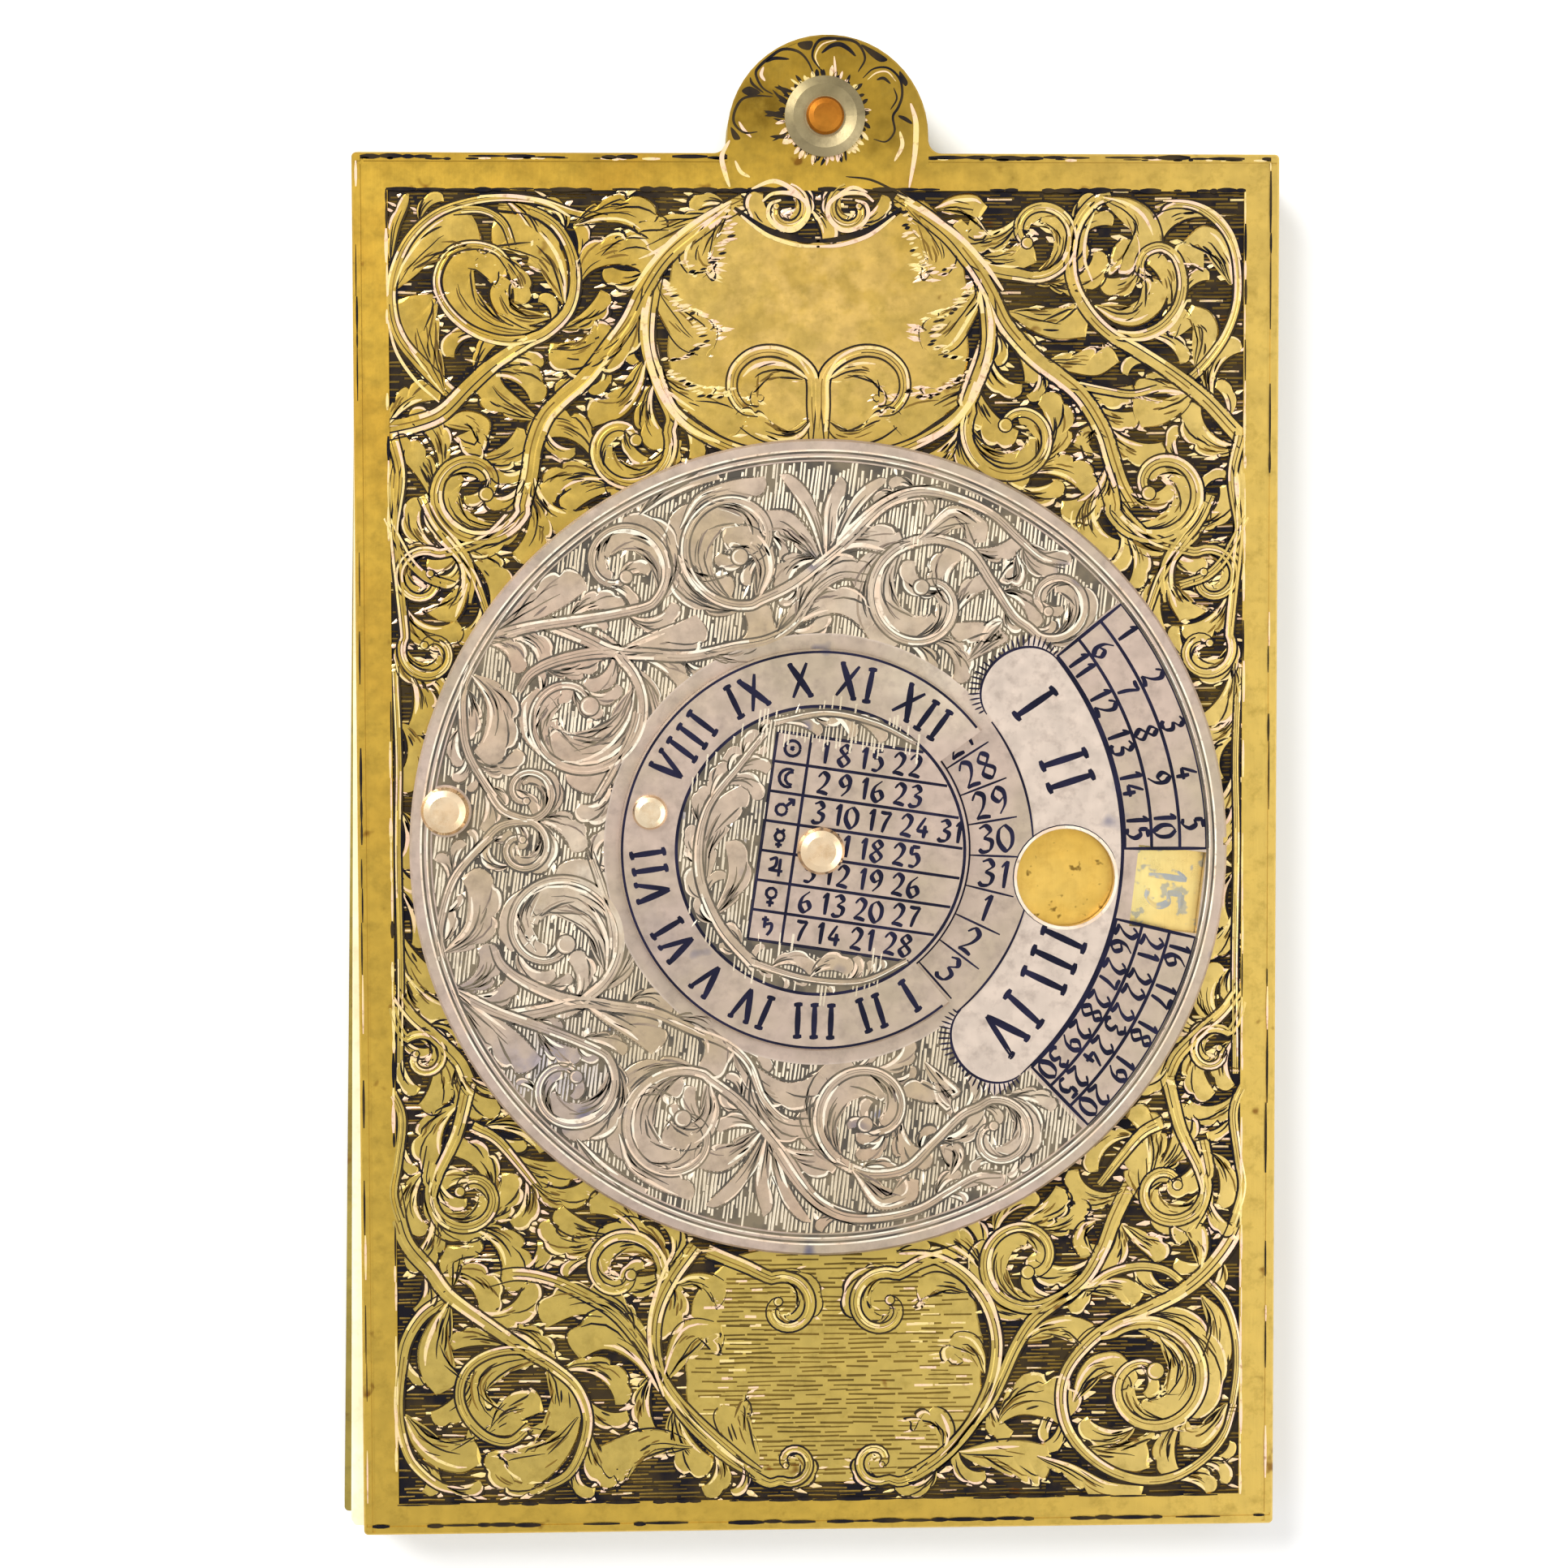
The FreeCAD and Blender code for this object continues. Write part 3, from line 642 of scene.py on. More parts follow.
LEFT_LEAVES = (
    (((-17.9, 33.5), (-19.4, 33.2), (-21.2, 33.3), (-22.8, 34.1), (-24.0, 35.5), (-24.3, 37.0),
      (-23.6, 38.4), (-22.3, 38.9), (-20.7, 38.5), (-19.8, 37.4)), 2.5, -1, 6),
    (((-17.2, 34.4), (-18.7, 33.9), (-20.1, 34.1), (-21.0, 35.1), (-21.2, 36.2), (-20.5, 37.2)),
     1.7, -1, 4),
    (((-16.3, 35.2), (-16.1, 36.8), (-16.3, 38.4), (-17.3, 40.0), (-18.9, 41.0), (-20.7, 41.2)), 3.0, 1, 5),
    (((-27.4, 36.2), (-27.1, 38.0), (-26.1, 39.7), (-24.8, 40.9), (-22.6, 41.5)), 3.2, -1, 5),
    (((-24.2, 29.4), (-25.7, 30.7), (-26.9, 32.3), (-27.4, 33.9), (-27.5, 35.4)), 3.3, -1, 5),
    (((-27.5, 37.9), (-27.0, 40.1), (-26.4, 41.6), (-26.3, 42.4)), 0.6, 1, 3),
    (((-15.8, 40.3), (-14.0, 40.5), (-12.3, 40.3), (-10.6, 39.2)), 1.7, 1, 4),
    (((-15.6, 36.4), (-14.4, 37.5), (-12.6, 37.8), (-11.0, 37.2)), 1.7, 1, 5),
    (((-17.5, 32.3), (-15.7, 31.8), (-14.2, 32.2), (-13.0, 33.2)), 1.6, 1, 4),
    (((-6.3, 41.1), (-8.8, 39.3), (-10.7, 38.2), (-12.8, 37.7)), 2.1, -1, 5),
    (((-11.2, 36.2), (-12.9, 34.0), (-15.0, 32.8), (-17.3, 32.8)), 1.9, 1, 5),
    (((-11.1, 31.8), (-11.4, 29.8), (-12.6, 28.1), (-14.6, 27.4)), 1.8, -1, 4),
    (((-18.0, 27.9), (-19.2, 29.1), (-20.4, 30.3), (-20.6, 31.5)), 1.7, 1, 3),
    (((-24.5, 27.7), (-22.8, 28.5), (-21.2, 27.8), (-21.6, 26.0)), 2.2, -1, 4),
    (((-18.0, -33.5), (-16.7, -34.4), (-15.9, -35.7), (-15.6, -37.0), (-16.0, -38.3)), 3.4, -1, 4),
    (((-15.7, -37.2), (-16.0, -38.8), (-16.9, -40.4), (-18.3, -41.7), (-19.7, -42.2)), 2.9, -1, 4),
    (((-18.0, -33.3), (-19.9, -33.0), (-21.8, -33.3), (-23.1, -34.3), (-23.4, -35.7), (-23.0, -37.1),
      (-21.8, -38.3), (-20.4, -38.5), (-19.2, -37.6)), 2.2, 1, 6),
    (((-21.8, -38.3), (-20.6, -37.6), (-19.4, -37.4), (-18.2, -36.9)), 1.6, 1, 3),
    (((-24.3, -29.4), (-25.6, -30.9), (-26.4, -32.7), (-26.2, -34.6), (-25.2, -35.8)), 3.0, 1, 5),
    (((-27.4, -37.0), (-26.9, -39.0), (-25.5, -40.5), (-23.6, -41.0), (-22.2, -40.3)), 3.1, 1, 5),
    (((-24.3, -29.0), (-25.0, -27.2), (-24.5, -25.9)), 2.4, -1, 4),
    (((-10.6, -35.8), (-12.3, -33.8), (-14.1, -32.9), (-15.8, -33.5)), 2.2, -1, 5),
    (((-10.5, -35.2), (-10.2, -33.3), (-9.5, -31.5), (-8.2, -30.9), (-6.3, -31.3)), 2.3, -1, 5),
    (((-12.1, -32.3), (-13.6, -30.9), (-15.8, -30.6), (-18.0, -31.4)), 1.9, -1, 4),
    (((-8.2, -39.3), (-10.2, -38.3), (-12.1, -38.3), (-14.6, -39.3)), 2.6, 1, 6),
    (((-4.1, -41.2), (-6.1, -39.3), (-7.0, -37.4), (-6.3, -36.4)), 2.4, -1, 5),
    (((-9.6, -28.6), (-8.6, -27.9), (-7.3, -27.9), (-6.0, -28.6)), 1.8, -1, 4),
)
RIGHT_LEAVES = (
    (((18.4, 42.3), (20.2, 42.2), (21.6, 41.4), (22.3, 39.9), (22.2, 38.5), (21.4, 38.0)), 3.4, -1, 5),
    (((17.9, 35.2), (19.2, 34.1), (20.8, 33.9), (22.3, 34.9), (22.9, 36.4)), 2.4, 1, 5),
    (((27.0, 36.5), (27.0, 38.4), (26.2, 40.0), (24.9, 40.4), (23.5, 39.2)), 2.5, 1, 4),
    (((24.6, 31.0), (25.7, 32.3), (26.1, 33.7), (25.5, 34.9), (24.3, 35.3)), 2.8, 1, 4),
    (((7.5, 41.5), (8.7, 42.3), (10.2, 42.4), (11.0, 41.6)), 2.4, -1, 3),
    (((10.2, 38.2), (11.4, 37.6), (12.8, 37.4), (14.2, 38.0)), 1.9, 1, 4),
    (((12.2, 34.8), (13.8, 33.6), (15.6, 33.0), (17.4, 33.2)), 2.4, 1, 5),
    (((14.6, 31.5), (16.4, 30.9), (18.2, 30.7), (19.6, 31.6)), 1.7, 1, 4),
    (((24.6, 29.6), (23.8, 28.4), (22.4, 27.5), (20.9, 27.3)), 2.3, -1, 4),
    (((18.9, 26.7), (18.2, 27.6), (17.0, 27.2), (16.6, 26.2)), 1.5, 1, 3),
    (((16.6, -36.8), (16.9, -35.0), (17.9, -33.7), (19.6, -33.4), (20.6, -34.3)), 2.3, -1, 4),
    (((22.4, -32.3), (23.8, -33.2), (24.6, -34.8), (24.5, -36.2)), 2.1, -1, 3),
    (((17.3, -39.9), (18.9, -41.0), (20.7, -41.5), (21.8, -41.2)), 2.7, 1, 4),
    (((27.0, -36.9), (26.6, -38.6), (25.4, -39.9), (23.8, -39.7)), 2.0, -1, 4),
    (((25.2, -29.6), (26.5, -30.6), (27.2, -32.3), (27.2, -34.0), (26.3, -35.2)), 2.3, -1, 3),
    (((11.7, -38.2), (13.2, -37.6), (14.8, -37.8), (15.9, -38.3)), 2.5, 1, 4),
    (((9.0, -39.9), (11.2, -39.3), (13.2, -39.2), (15.2, -39.6)), 2.6, -1, 5),
    (((14.2, -40.2), (16.6, -40.8), (19.0, -42.0), (21.4, -42.4)), 1.2, -1, 4),
    (((13.2, -32.6), (14.5, -31.4), (16.2, -30.9), (17.7, -31.3), (18.4, -32.0)), 1.9, -1, 4),
    (((17.0, -29.2), (18.6, -28.5), (20.3, -28.5), (21.5, -29.3)), 1.6, -1, 3),
    (((25.2, -28.0), (25.7, -26.6), (25.5, -25.2), (24.6, -24.8)), 2.0, 1, 3),
    (((19.9, -25.0), (20.7, -26.2), (21.6, -27.0), (22.2, -27.6)), 1.3, 1, 3),
    (((9.9, -29.3), (8.9, -28.4), (7.6, -28.0), (6.3, -28.4)), 2.0, 1, 4),
    (((10.9, -34.8), (10.9, -33.4), (10.2, -32.2), (9.0, -32.0), (8.3, -32.8)), 1.9, 1, 4),
    (((8.2, -40.0), (8.8, -38.6), (8.3, -37.3), (7.3, -36.8)), 2.2, 1, 4),
    (((18.2, -24.6), (17.2, -24.8), (16.6, -26.0), (17.2, -27.2)), 1.8, 1, 3),
)


# Places left free of leaves, where the dark ground shows: x, y and radius
DARK_PLACES = (
    (23.6, 40.9, 1.3), (25.3, 35.9, 1.1), (18.4, 39.2, 0.8), (21.7, 36.4, 0.7), (22.2, 32.4, 0.8),
    (14.3, 38.2, 0.9), (14.8, 41.4, 0.7), (11.6, 41.2, 0.6), (26.9, 41.6, 0.6), (27.0, 28.5, 0.7),
    (25.6, 25.4, 1.0), (13.6, 36.2, 0.6), (14.6, -34.0, 1.4), (18.5, -37.2, 0.9), (20.9, -33.0, 1.0),
    (22.8, -36.9, 0.9), (22.6, -40.3, 1.2), (26.2, -36.2, 0.8), (24.0, -31.0, 1.0), (19.0, -30.6, 0.8),
    (22.6, -26.8, 0.9), (27.2, -27.8, 0.7), (27.0, -41.8, 0.9), (12.4, -32.4, 0.7), (13.3, -38.9, 0.6),
    (15.3, -41.4, 0.8), (8.9, -41.9, 0.8), (16.2, -27.6, 0.7), (12.1, -27.1, 0.6), (-26.9, 42.0, 0.6),
    (-21.9, 40.6, 0.8), (-25.6, 37.0, 0.8), (-17.6, 36.7, 0.8), (-15.8, 41.9, 0.8), (-23.3, 31.5, 1.2),
    (-27.1, 29.8, 1.1), (-16.4, 31.5, 0.7), (-12.3, 39.3, 0.6), (-15.0, 36.1, 0.8), (-27.7, -28.7, 0.6),
    (-23.5, -30.9, 1.0), (-26.7, -35.9, 0.9), (-21.1, -34.5, 0.8), (-18.4, -37.1, 0.6), (-23.5, -40.5, 1.0),
    (-27.4, -40.7, 1.0), (-16.0, -32.1, 0.9), (-13.1, -36.4, 1.0), (-10.4, -38.8, 0.7), (-20.9, -26.3, 1.1),
    (-22.3, -26.6, 1.0),
)


def drawn_field():
    """The stems and the leaves of the whole field."""
    stems = stems_of(LEFT_SCROLLS + RIGHT_SCROLLS + SHARED_SCROLLS, LEFT_STEMS + RIGHT_STEMS + SHARED_STEMS)
    stems += stems_of(SHARED_SCROLLS, SHARED_STEMS, 90)
    leaves = leaves_of(LEFT_LEAVES + RIGHT_LEAVES + SHARED_LEAVES) + leaves_of(SHARED_LEAVES, 90)
    leaves += curls_of(LEFT_SCROLLS + RIGHT_SCROLLS + SHARED_SCROLLS) + curls_of(SHARED_SCROLLS, 90)
    return stems, leaves


# Lines cut over the field: the points, the width, the paint and whether they are mirrored. The bright ones
# are painted highlights along stems, widest beside the upper shield
FIELD_LINES = (
    (((-10.9, 35.8), (-11.2, 34.0), (-11.0, 32.0), (-10.5, 30.3), (-9.6, 28.6), (-8.2, 27.2), (-6.4, 26.4)),
     0.42, BRIGHT, True),
    (((-5.6, 41.9), (-7.4, 40.9), (-9.2, 39.6), (-10.8, 37.9), (-12.0, 36.2)), 0.34, BRIGHT, True),
    (((-5.0, 41.0), (-4.0, 40.2), (-3.0, 39.6), (-1.4, 39.1), (0.1, 39.0)), 0.26, BRIGHT, True),
    (((-5.4, 41.5), (-4.2, 40.6), (-3.1, 40.0), (-1.4, 39.5), (0.1, 39.35)), 0.4, DARK, True),
    (((-3.6, 41.9), (-2.9, 42.4), (-1.7, 42.4), (-0.75, 41.8), (-0.7, 40.9), (-1.5, 40.1), (-2.5, 40.2),
      (-3.2, 40.9), (-3.1, 41.7), (-2.4, 42.0)), 0.3, BRIGHT, True),
    (((-0.6, 30.8), (-1.4, 31.9), (-2.8, 32.5), (-4.4, 32.3), (-5.6, 31.2), (-5.8, 29.8)),
     0.2, BRIGHT, True),
    (((-24.5, 29.0), (-26.0, 30.4), (-27.2, 32.2), (-27.8, 34.4)), 0.2, BRIGHT, False),
    (((-18.2, 33.0), (-20.0, 32.7), (-22.0, 33.2), (-23.8, 34.5), (-24.8, 36.2)), 0.2, BRIGHT, False),
    (((-16.0, 40.9), (-17.6, 41.8), (-19.6, 42.2), (-21.8, 42.2)), 0.24, BRIGHT, False),
    (((17.9, 41.2), (17.4, 39.8), (17.3, 38.2), (17.8, 36.8)), 0.2, BRIGHT, False),
    (((19.6, 33.1), (21.4, 33.1), (23.0, 34.0), (24.0, 35.6)), 0.22, BRIGHT, False),
    (((22.4, 42.0), (24.2, 41.9), (25.8, 41.2), (26.9, 39.9), (27.5, 38.2)), 0.22, BRIGHT, False),
    (((5.2, -26.7), (7.5, -26.8), (9.6, -27.9), (11.2, -29.8), (11.9, -32.2)), 0.26, BRIGHT, False),
    (((-9.6, -26.2), (-10.6, -28.6), (-11.2, -31.0), (-11.1, -33.4), (-10.3, -36.0)), 0.26, BRIGHT, False),
)

# Leaf edges beside the upper shield, set off by short level strokes on both sides
COMBED_EDGES = (
    ((-5.9, 41.2), (-5.7, 40.2), (-6.2, 39.0), (-7.0, 37.8), (-8.0, 37.2), (-8.7, 37.9)),
    ((-9.9, 36.4), (-8.8, 35.0), (-7.6, 33.8), (-7.5, 32.8), (-8.4, 32.1), (-9.8, 31.7)),
    ((-9.6, 30.9), (-8.4, 30.0), (-6.8, 29.3), (-5.7, 29.8)),
)

# The scroll work of the moon dial, drawn for the half above the axis through its knob
DIAL_SCROLLS = (
    (((-22.0, 13.6), (-18.7, 14.5), (-15.3, 15.0), (-12.9, 15.4)),
     (-12.9, 18.4), 3.2, -50, 350, 0.25, (0.65, 0.35)),
    (((-14.6, 14.0), (-13.6, 13.4)), (-15.8, 8.9), 4.6, 48, -380, 0.22, (0.7, 0.35)),
    (((7.9, 23.2), (5.5, 22.9), (3.9, 22.1), (1.9, 20.1), (0.1, 18.6), (-1.9, 17.1), (-4.0, 16.1)),
     (-5.2, 19.9), 4.1, -78, -370, 0.22, (0.75, 0.35)),
    ((), (6.8, 16.2), 3.8, 95, 370, 0.22, (0.65, 0.35)),
    (((6.1, 20.0), (7.8, 20.1), (9.8, 19.3), (11.2, 17.3), (12.6, 15.2), (13.6, 14.4)),
     (15.2, 16.0), 2.4, -110, 350, 0.28, (0.6, 0.35)),
    (((-21.8, 4.6), (-20.6, 2.7)), (-19.0, 3.8), 1.8, -80, 350, 0.3, (0.45, 0.3)),
)
DIAL_STEMS = (
    (((-17.7, 14.8), (-15.3, 13.8), (-13.3, 12.9), (-10.9, 12.7), (-8.4, 12.6), (-5.6, 13.2), (-3.4, 13.6),
      (-1.7, 14.6), (-0.3, 16.6), (1.3, 17.7), (3.1, 17.6)), (0.85, 0.35)),
    (((-19.5, 10.3), (-18.7, 11.5), (-17.1, 12.3), (-14.9, 12.8), (-12.9, 12.9)), (0.4, 0.7)),
    (((-22.2, 12.8), (-23.0, 10.7), (-23.1, 8.5), (-22.8, 6.5), (-21.8, 4.6), (-20.6, 2.9)), (0.5, 0.4)),
    (((-11.7, 9.5), (-12.1, 7.8), (-13.3, 5.4), (-14.6, 3.2)), (0.6, 0.35)),
    (((0.2, 18.7), (2.4, 21.0), (4.3, 22.5), (6.3, 23.2), (8.5, 22.9), (11.1, 21.8), (12.9, 20.2),
      (14.4, 18.9), (16.0, 18.4)), (0.7, 0.35)),
)
DIAL_LEAVES = (
    (((-21.6, 13.6), (-18.7, 14.7), (-16.5, 15.8), (-14.9, 17.0)), 2.0, 1, 4),
    (((-13.4, 12.8), (-11.4, 13.9), (-9.1, 14.8), (-8.0, 15.3)), 2.0, -1, 5),
    (((-7.6, 12.9), (-5.6, 13.4), (-4.7, 14.2), (-4.9, 15.6)), 1.7, -1, 4),
    (((-1.5, 14.6), (-0.2, 16.6), (1.3, 17.6), (3.2, 17.4)), 1.3, 1, 5),
    (((-3.0, 13.6), (-1.1, 14.7), (1.1, 15.3), (3.2, 14.2)), 1.5, 1, 5),
    (((0.3, 18.7), (2.3, 19.5), (4.3, 19.2), (5.4, 19.3)), 1.5, 1, 4),
    (((-9.1, 20.7), (-8.0, 22.9), (-5.8, 23.9), (-3.5, 24.2)), 1.4, -1, 5),
    (((-11.7, 21.6), (-9.8, 22.7), (-8.0, 23.5), (-6.4, 24.0)), 0.9, 1, 4),
    (((-4.0, 16.1), (-2.9, 18.0), (-3.2, 20.0), (-4.6, 21.0), (-6.2, 20.9)), 2.0, 1, 6),
    (((-9.2, 19.2), (-8.7, 17.6), (-7.6, 16.6), (-5.8, 16.2)), 1.6, 1, 4),
    (((0.2, 18.6), (-0.5, 20.4), (-1.9, 21.9), (-3.8, 22.0)), 1.8, 1, 4),
    (((0.3, 18.7), (-0.9, 21.7), (-2.6, 24.3)), 0.8, -1, 2),
    (((0.4, 18.8), (0.3, 22.1), (1.3, 24.3)), 0.9, -1, 2),
    (((0.7, 19.0), (2.5, 21.9), (4.5, 24.0)), 0.7, 1, 2),
    (((-22.6, 11.5), (-21.6, 9.5), (-21.8, 7.5), (-22.4, 6.5)), 1.8, 1, 4),
    (((-11.9, 10.7), (-12.1, 8.3), (-13.5, 6.3), (-15.7, 5.4), (-17.9, 5.9)), 2.6, -1, 6),
    (((-18.1, 6.1), (-19.3, 7.5), (-19.4, 9.5), (-18.3, 10.6)), 2.2, -1, 4),
    (((6.3, 20.1), (8.5, 22.3), (10.8, 21.3), (10.8, 19.9)), 2.0, -1, 5),
    (((12.8, 19.2), (13.4, 17.9), (12.9, 17.0), (11.8, 17.6)), 1.2, -1, 3),
    (((13.2, 19.9), (14.4, 18.7), (16.3, 18.4)), 0.9, 1, 3),
    (((9.5, 12.1), (11.1, 12.9), (12.3, 13.7), (10.8, 14.7), (8.5, 14.7)), 1.4, 1, 5),
)

# Hatched places that no leaf of the dial covers: x, y, radius
BARE_PLACES = (
    (-21.0, 10.4, 0.9), (-6.6, 14.1, 1.2), (-3.7, 22.2, 0.9), (-12.6, 14.6, 0.8), (-16.5, 14.1, 0.8),
    (6.0, 21.2, 1.2), (10.5, 15.5, 0.9), (11.2, 20.5, 0.7), (6.3, 14.0, 0.7), (-15.5, 20.2, 0.9),
    (-14.5, 17.5, 0.6), (-11.6, 17.4, 0.5), (-19.2, 5.6, 0.6), (-10.6, 11.2, 0.8), (-7.2, 19.4, 0.8),
    (-3.2, 18.3, 0.6), (-14.6, 6.6, 0.7), (1.0, 23.8, 0.9), (9.6, 23.6, 0.7),
)

# The leaves at the side of the weekday table
TABLE_STEMS = (
    (((-4.2, -7.6), (-6.6, -4.8), (-7.9, -1.2), (-7.4, 2.6), (-5.2, 5.6), (-3.6, 7.6)), (0.7, 0.3)),
    (((-3.0, 8.3), (0.4, 8.9), (3.6, 8.2), (6.2, 6.9)), (0.35, 0.2)),
    (((-4.6, -7.2), (-1.0, -8.3), (2.6, -8.5), (5.6, -7.2)), (0.4, 0.2)),
)
TABLE_LEAVES = (
    (((-7.6, -2.2), (-7.9, 0.6), (-6.8, 3.2), (-5.0, 4.4)), 1.6, -1, 4),
    (((-7.0, -4.2), (-6.0, -1.6), (-6.2, 0.6)), 1.2, -1, 3),
)

# How much wider the leaves are cut than their tables say
LEAF_SWELL = 1.36


def stems_of(scrolls, plain, mirror=None):
    """Stems from their tables, as drawn or in the mirror."""
    stems = []
    for lead, centre, radius, start, sweep, end, widths in scrolls:
        path = scroll(lead, centre, radius, start, sweep, end)
        stems.append(Stem(path if mirror is None else mirrored(path, mirror), *widths, bud=0.13 * radius))
    for points, widths in plain:
        path = smooth(points)
        stems.append(Stem(path if mirror is None else mirrored(path, mirror), *widths))
    return stems


def leaf_along(path, width, side, lobes, mirror=None):
    if mirror is None:
        return Leaf(path, LEAF_SWELL * width, side, lobes)
    return Leaf(mirrored(path, mirror), LEAF_SWELL * width, -side, lobes)


def leaves_of(leaves, mirror=None):
    return [leaf_along(smooth(points), width, side, lobes, mirror) for points, width, side, lobes in leaves]


def mirrored_places(places, bearing):
    """The same round places on the other side of an axis."""
    made = []
    for x, y, radius in places:
        spot = mirrored(np.array([(x, y)]), bearing)[0]
        made.append((float(spot[0]), float(spot[1]), radius))
    return tuple(made)


def curls_of(scrolls, mirror=None):
    """Two leaves for each volute: one fills its inside, the other stands on its outside."""
    made = []
    for _, centre, radius, start, sweep, end, _ in scrolls:
        path = volute(centre, radius, start, sweep, end)
        inwards = 1 if sweep > 0 else -1
        lobes = 5 if radius > 2.5 else 4
        made.append(leaf_along(path[2:34], radius * 0.52, inwards, lobes, mirror))
        made.append(leaf_along(path[24:50], radius * 0.3, inwards, 3, mirror))
        made.append(leaf_along(path[1:24], radius * 0.34, -inwards, lobes - 1, mirror))
    return made


def shield_ceiling(x):
    """The curved upper edge of the upper shield."""
    return UPPER_SHIELD_TOP + UPPER_SHIELD_CURVE * x**2


def in_shield(x, y, shield, power=2.8):
    across, along, wide, high = shield
    inside = (np.abs(x - across) / wide) ** power + (np.abs(y - along) / high) ** power < 1
    return inside & (y < shield_ceiling(x)) & (y > LOWER_SHIELD_FOOT)


def in_field(x, y):
    """The engraved field: the pocket without the round land and the two bare shields."""
    inside = (x > FIELD_LOW[0]) & (x < FIELD_HIGH[0]) & (y > FIELD_LOW[1]) & (y < FIELD_HIGH[1])
    inside &= np.hypot(x, y) > LAND_RADIUS - 0.3
    return inside & ~in_shield(x, y, UPPER_SHIELD) & ~in_shield(x, y, LOWER_SHIELD)


def bearing_between(x, y, low, high):
    turned = (np.degrees(np.arctan2(y, x)) - low) % 360
    return turned < (high - low)


def in_dome(x, y, bearing, way):
    """One domed end of the crescent, half an ellipse past its bearing."""
    c, s = polar(1.0, bearing)
    out = x * c + y * s - DOME[0]
    onwards = (y * c - x * s) * way
    return (onwards > -0.6) & ((out / DOME[1]) ** 2 + (onwards / DOME[2]) ** 2 < 1)


def in_dial_foliage(x, y):
    """The foliage of the moon dial, without the crescent, the band and the knob."""
    r = np.hypot(x, y)
    inside = (r > WEEKDAY_RADIUS + 0.4) & (r < BAND_RADIUS - 0.25)
    inside &= ~((r < CRESCENT_RADIUS) & bearing_between(x, y, CRESCENT_ENDS[1], CRESCENT_ENDS[0]))
    inside &= ~((r >= CRESCENT_RADIUS) & bearing_between(x, y, BAND_ENDS[1], BAND_ENDS[0]))
    for bearing, way in DOME_ENDS:
        inside &= ~in_dome(x, y, bearing, way)
    knob = polar(MOON_KNOB[0], DIAL_AXIS)
    return inside & (np.hypot(x - knob[0], y - knob[1]) > MOON_KNOB[1])


# The weekday table leans a little: its corner, the way along a row and the way down
ROW_LEAN = -8.5
TABLE_CORNER = np.array([-2.75, 7.75])
ROW_HEIGHT = 1.94
ROWS = 7
SIGN_WIDTH = 2.2
ALONG = polar(1.0, ROW_LEAN)
DOWN = polar(1.0, ROW_LEAN - 90)


def in_table_ground(x, y):
    """The leafy part of the small dial: the round inside the number ring, without the table."""
    along = (x - TABLE_CORNER[0]) * ALONG[0] + (y - TABLE_CORNER[1]) * ALONG[1]
    down = (x - TABLE_CORNER[0]) * DOWN[0] + (y - TABLE_CORNER[1]) * DOWN[1]
    table = (along > -0.1) & (down > -0.1) & (down < ROWS * ROW_HEIGHT + 0.1)
    return (np.hypot(x, y) < TABLE_RADIUS - 0.35) & ~table


# Materials


def linear(red, green, blue):
    """A colour seen on a screen, as the shader takes it."""
    shares = [c / 255 for c in (red, green, blue)]
    return tuple(((c + 0.055) / 1.055) ** 2.4 if c > 0.04 else c / 12.92 for c in shares) + (1.0,)


def added(tree, kind, inputs, **settings):
    """A node of a tree, with its settings made and its inputs linked or set."""
    made = tree.nodes.new(kind)
    for key, value in settings.items():
        setattr(made, key, value)
    for key, value in inputs.items():
        if isinstance(value, bpy.types.NodeSocket):
            tree.links.new(value, made.inputs[key])
        else:
            made.inputs[key].default_value = value
    return made


class Mix:
    """A node tree under construction, read on Object coordinates."""

    def __init__(self, name, colour, metallic, roughness, specular=0.5):
        self.material = bpy.data.materials.new(name)
        self.material.use_nodes = True
        self.tree = self.material.node_tree
        self.shader = self.tree.nodes["Principled BSDF"]
        self.shader.inputs["Base Color"].default_value = colour
        self.shader.inputs["Metallic"].default_value = metallic
        self.shader.inputs["Roughness"].default_value = roughness
        self.shader.inputs["Specular IOR Level"].default_value = specular
        self.place = self.tree.nodes.new("ShaderNodeTexCoord").outputs["Object"]

    def node(self, kind, inputs, **settings):
        return added(self.tree, "ShaderNode" + kind, inputs, **settings)

    def stretched(self, x, y, z=1.0, turn=0.0):
        return self.node("Mapping", {"Vector": self.place, "Scale": (x, y, z),
                                     "Rotation": (0, 0, math.radians(turn))}).outputs["Vector"]

    def noise(self, per_mm, detail=3.0, roughness=0.55, vector=None, distortion=0.0):
        made = self.node("TexNoise", {"Vector": vector or self.place, "Scale": per_mm / MM, "Detail": detail,
                                      "Roughness": roughness, "Distortion": distortion})
        return made.outputs["Fac"]

    def ramp(self, value, low, high, to_low=0.0, to_high=1.0):
        made = self.node("MapRange", {"Value": value, "From Min": low, "From Max": high, "To Min": to_low,
                                      "To Max": to_high}, clamp=True)
        return made.outputs["Result"]

    def math(self, operation, a, b=0.5):
        return self.node("Math", {0: a, 1: b}, operation=operation).outputs[0]

    def blended(self, factor, a, b):
        made = self.node("Mix", {0: factor, 6: a, 7: b}, data_type="RGBA")
        return made.outputs[2]

    def bump(self, height, distance, strength=1.0, normal=None):
        inputs = {"Height": height, "Distance": distance * MM, "Strength": strength}
        if normal is not None:
            inputs["Normal"] = normal
        return self.node("Bump", inputs).outputs["Normal"]

    def into(self, socket, value):
        self.tree.links.new(value, self.shader.inputs[socket])


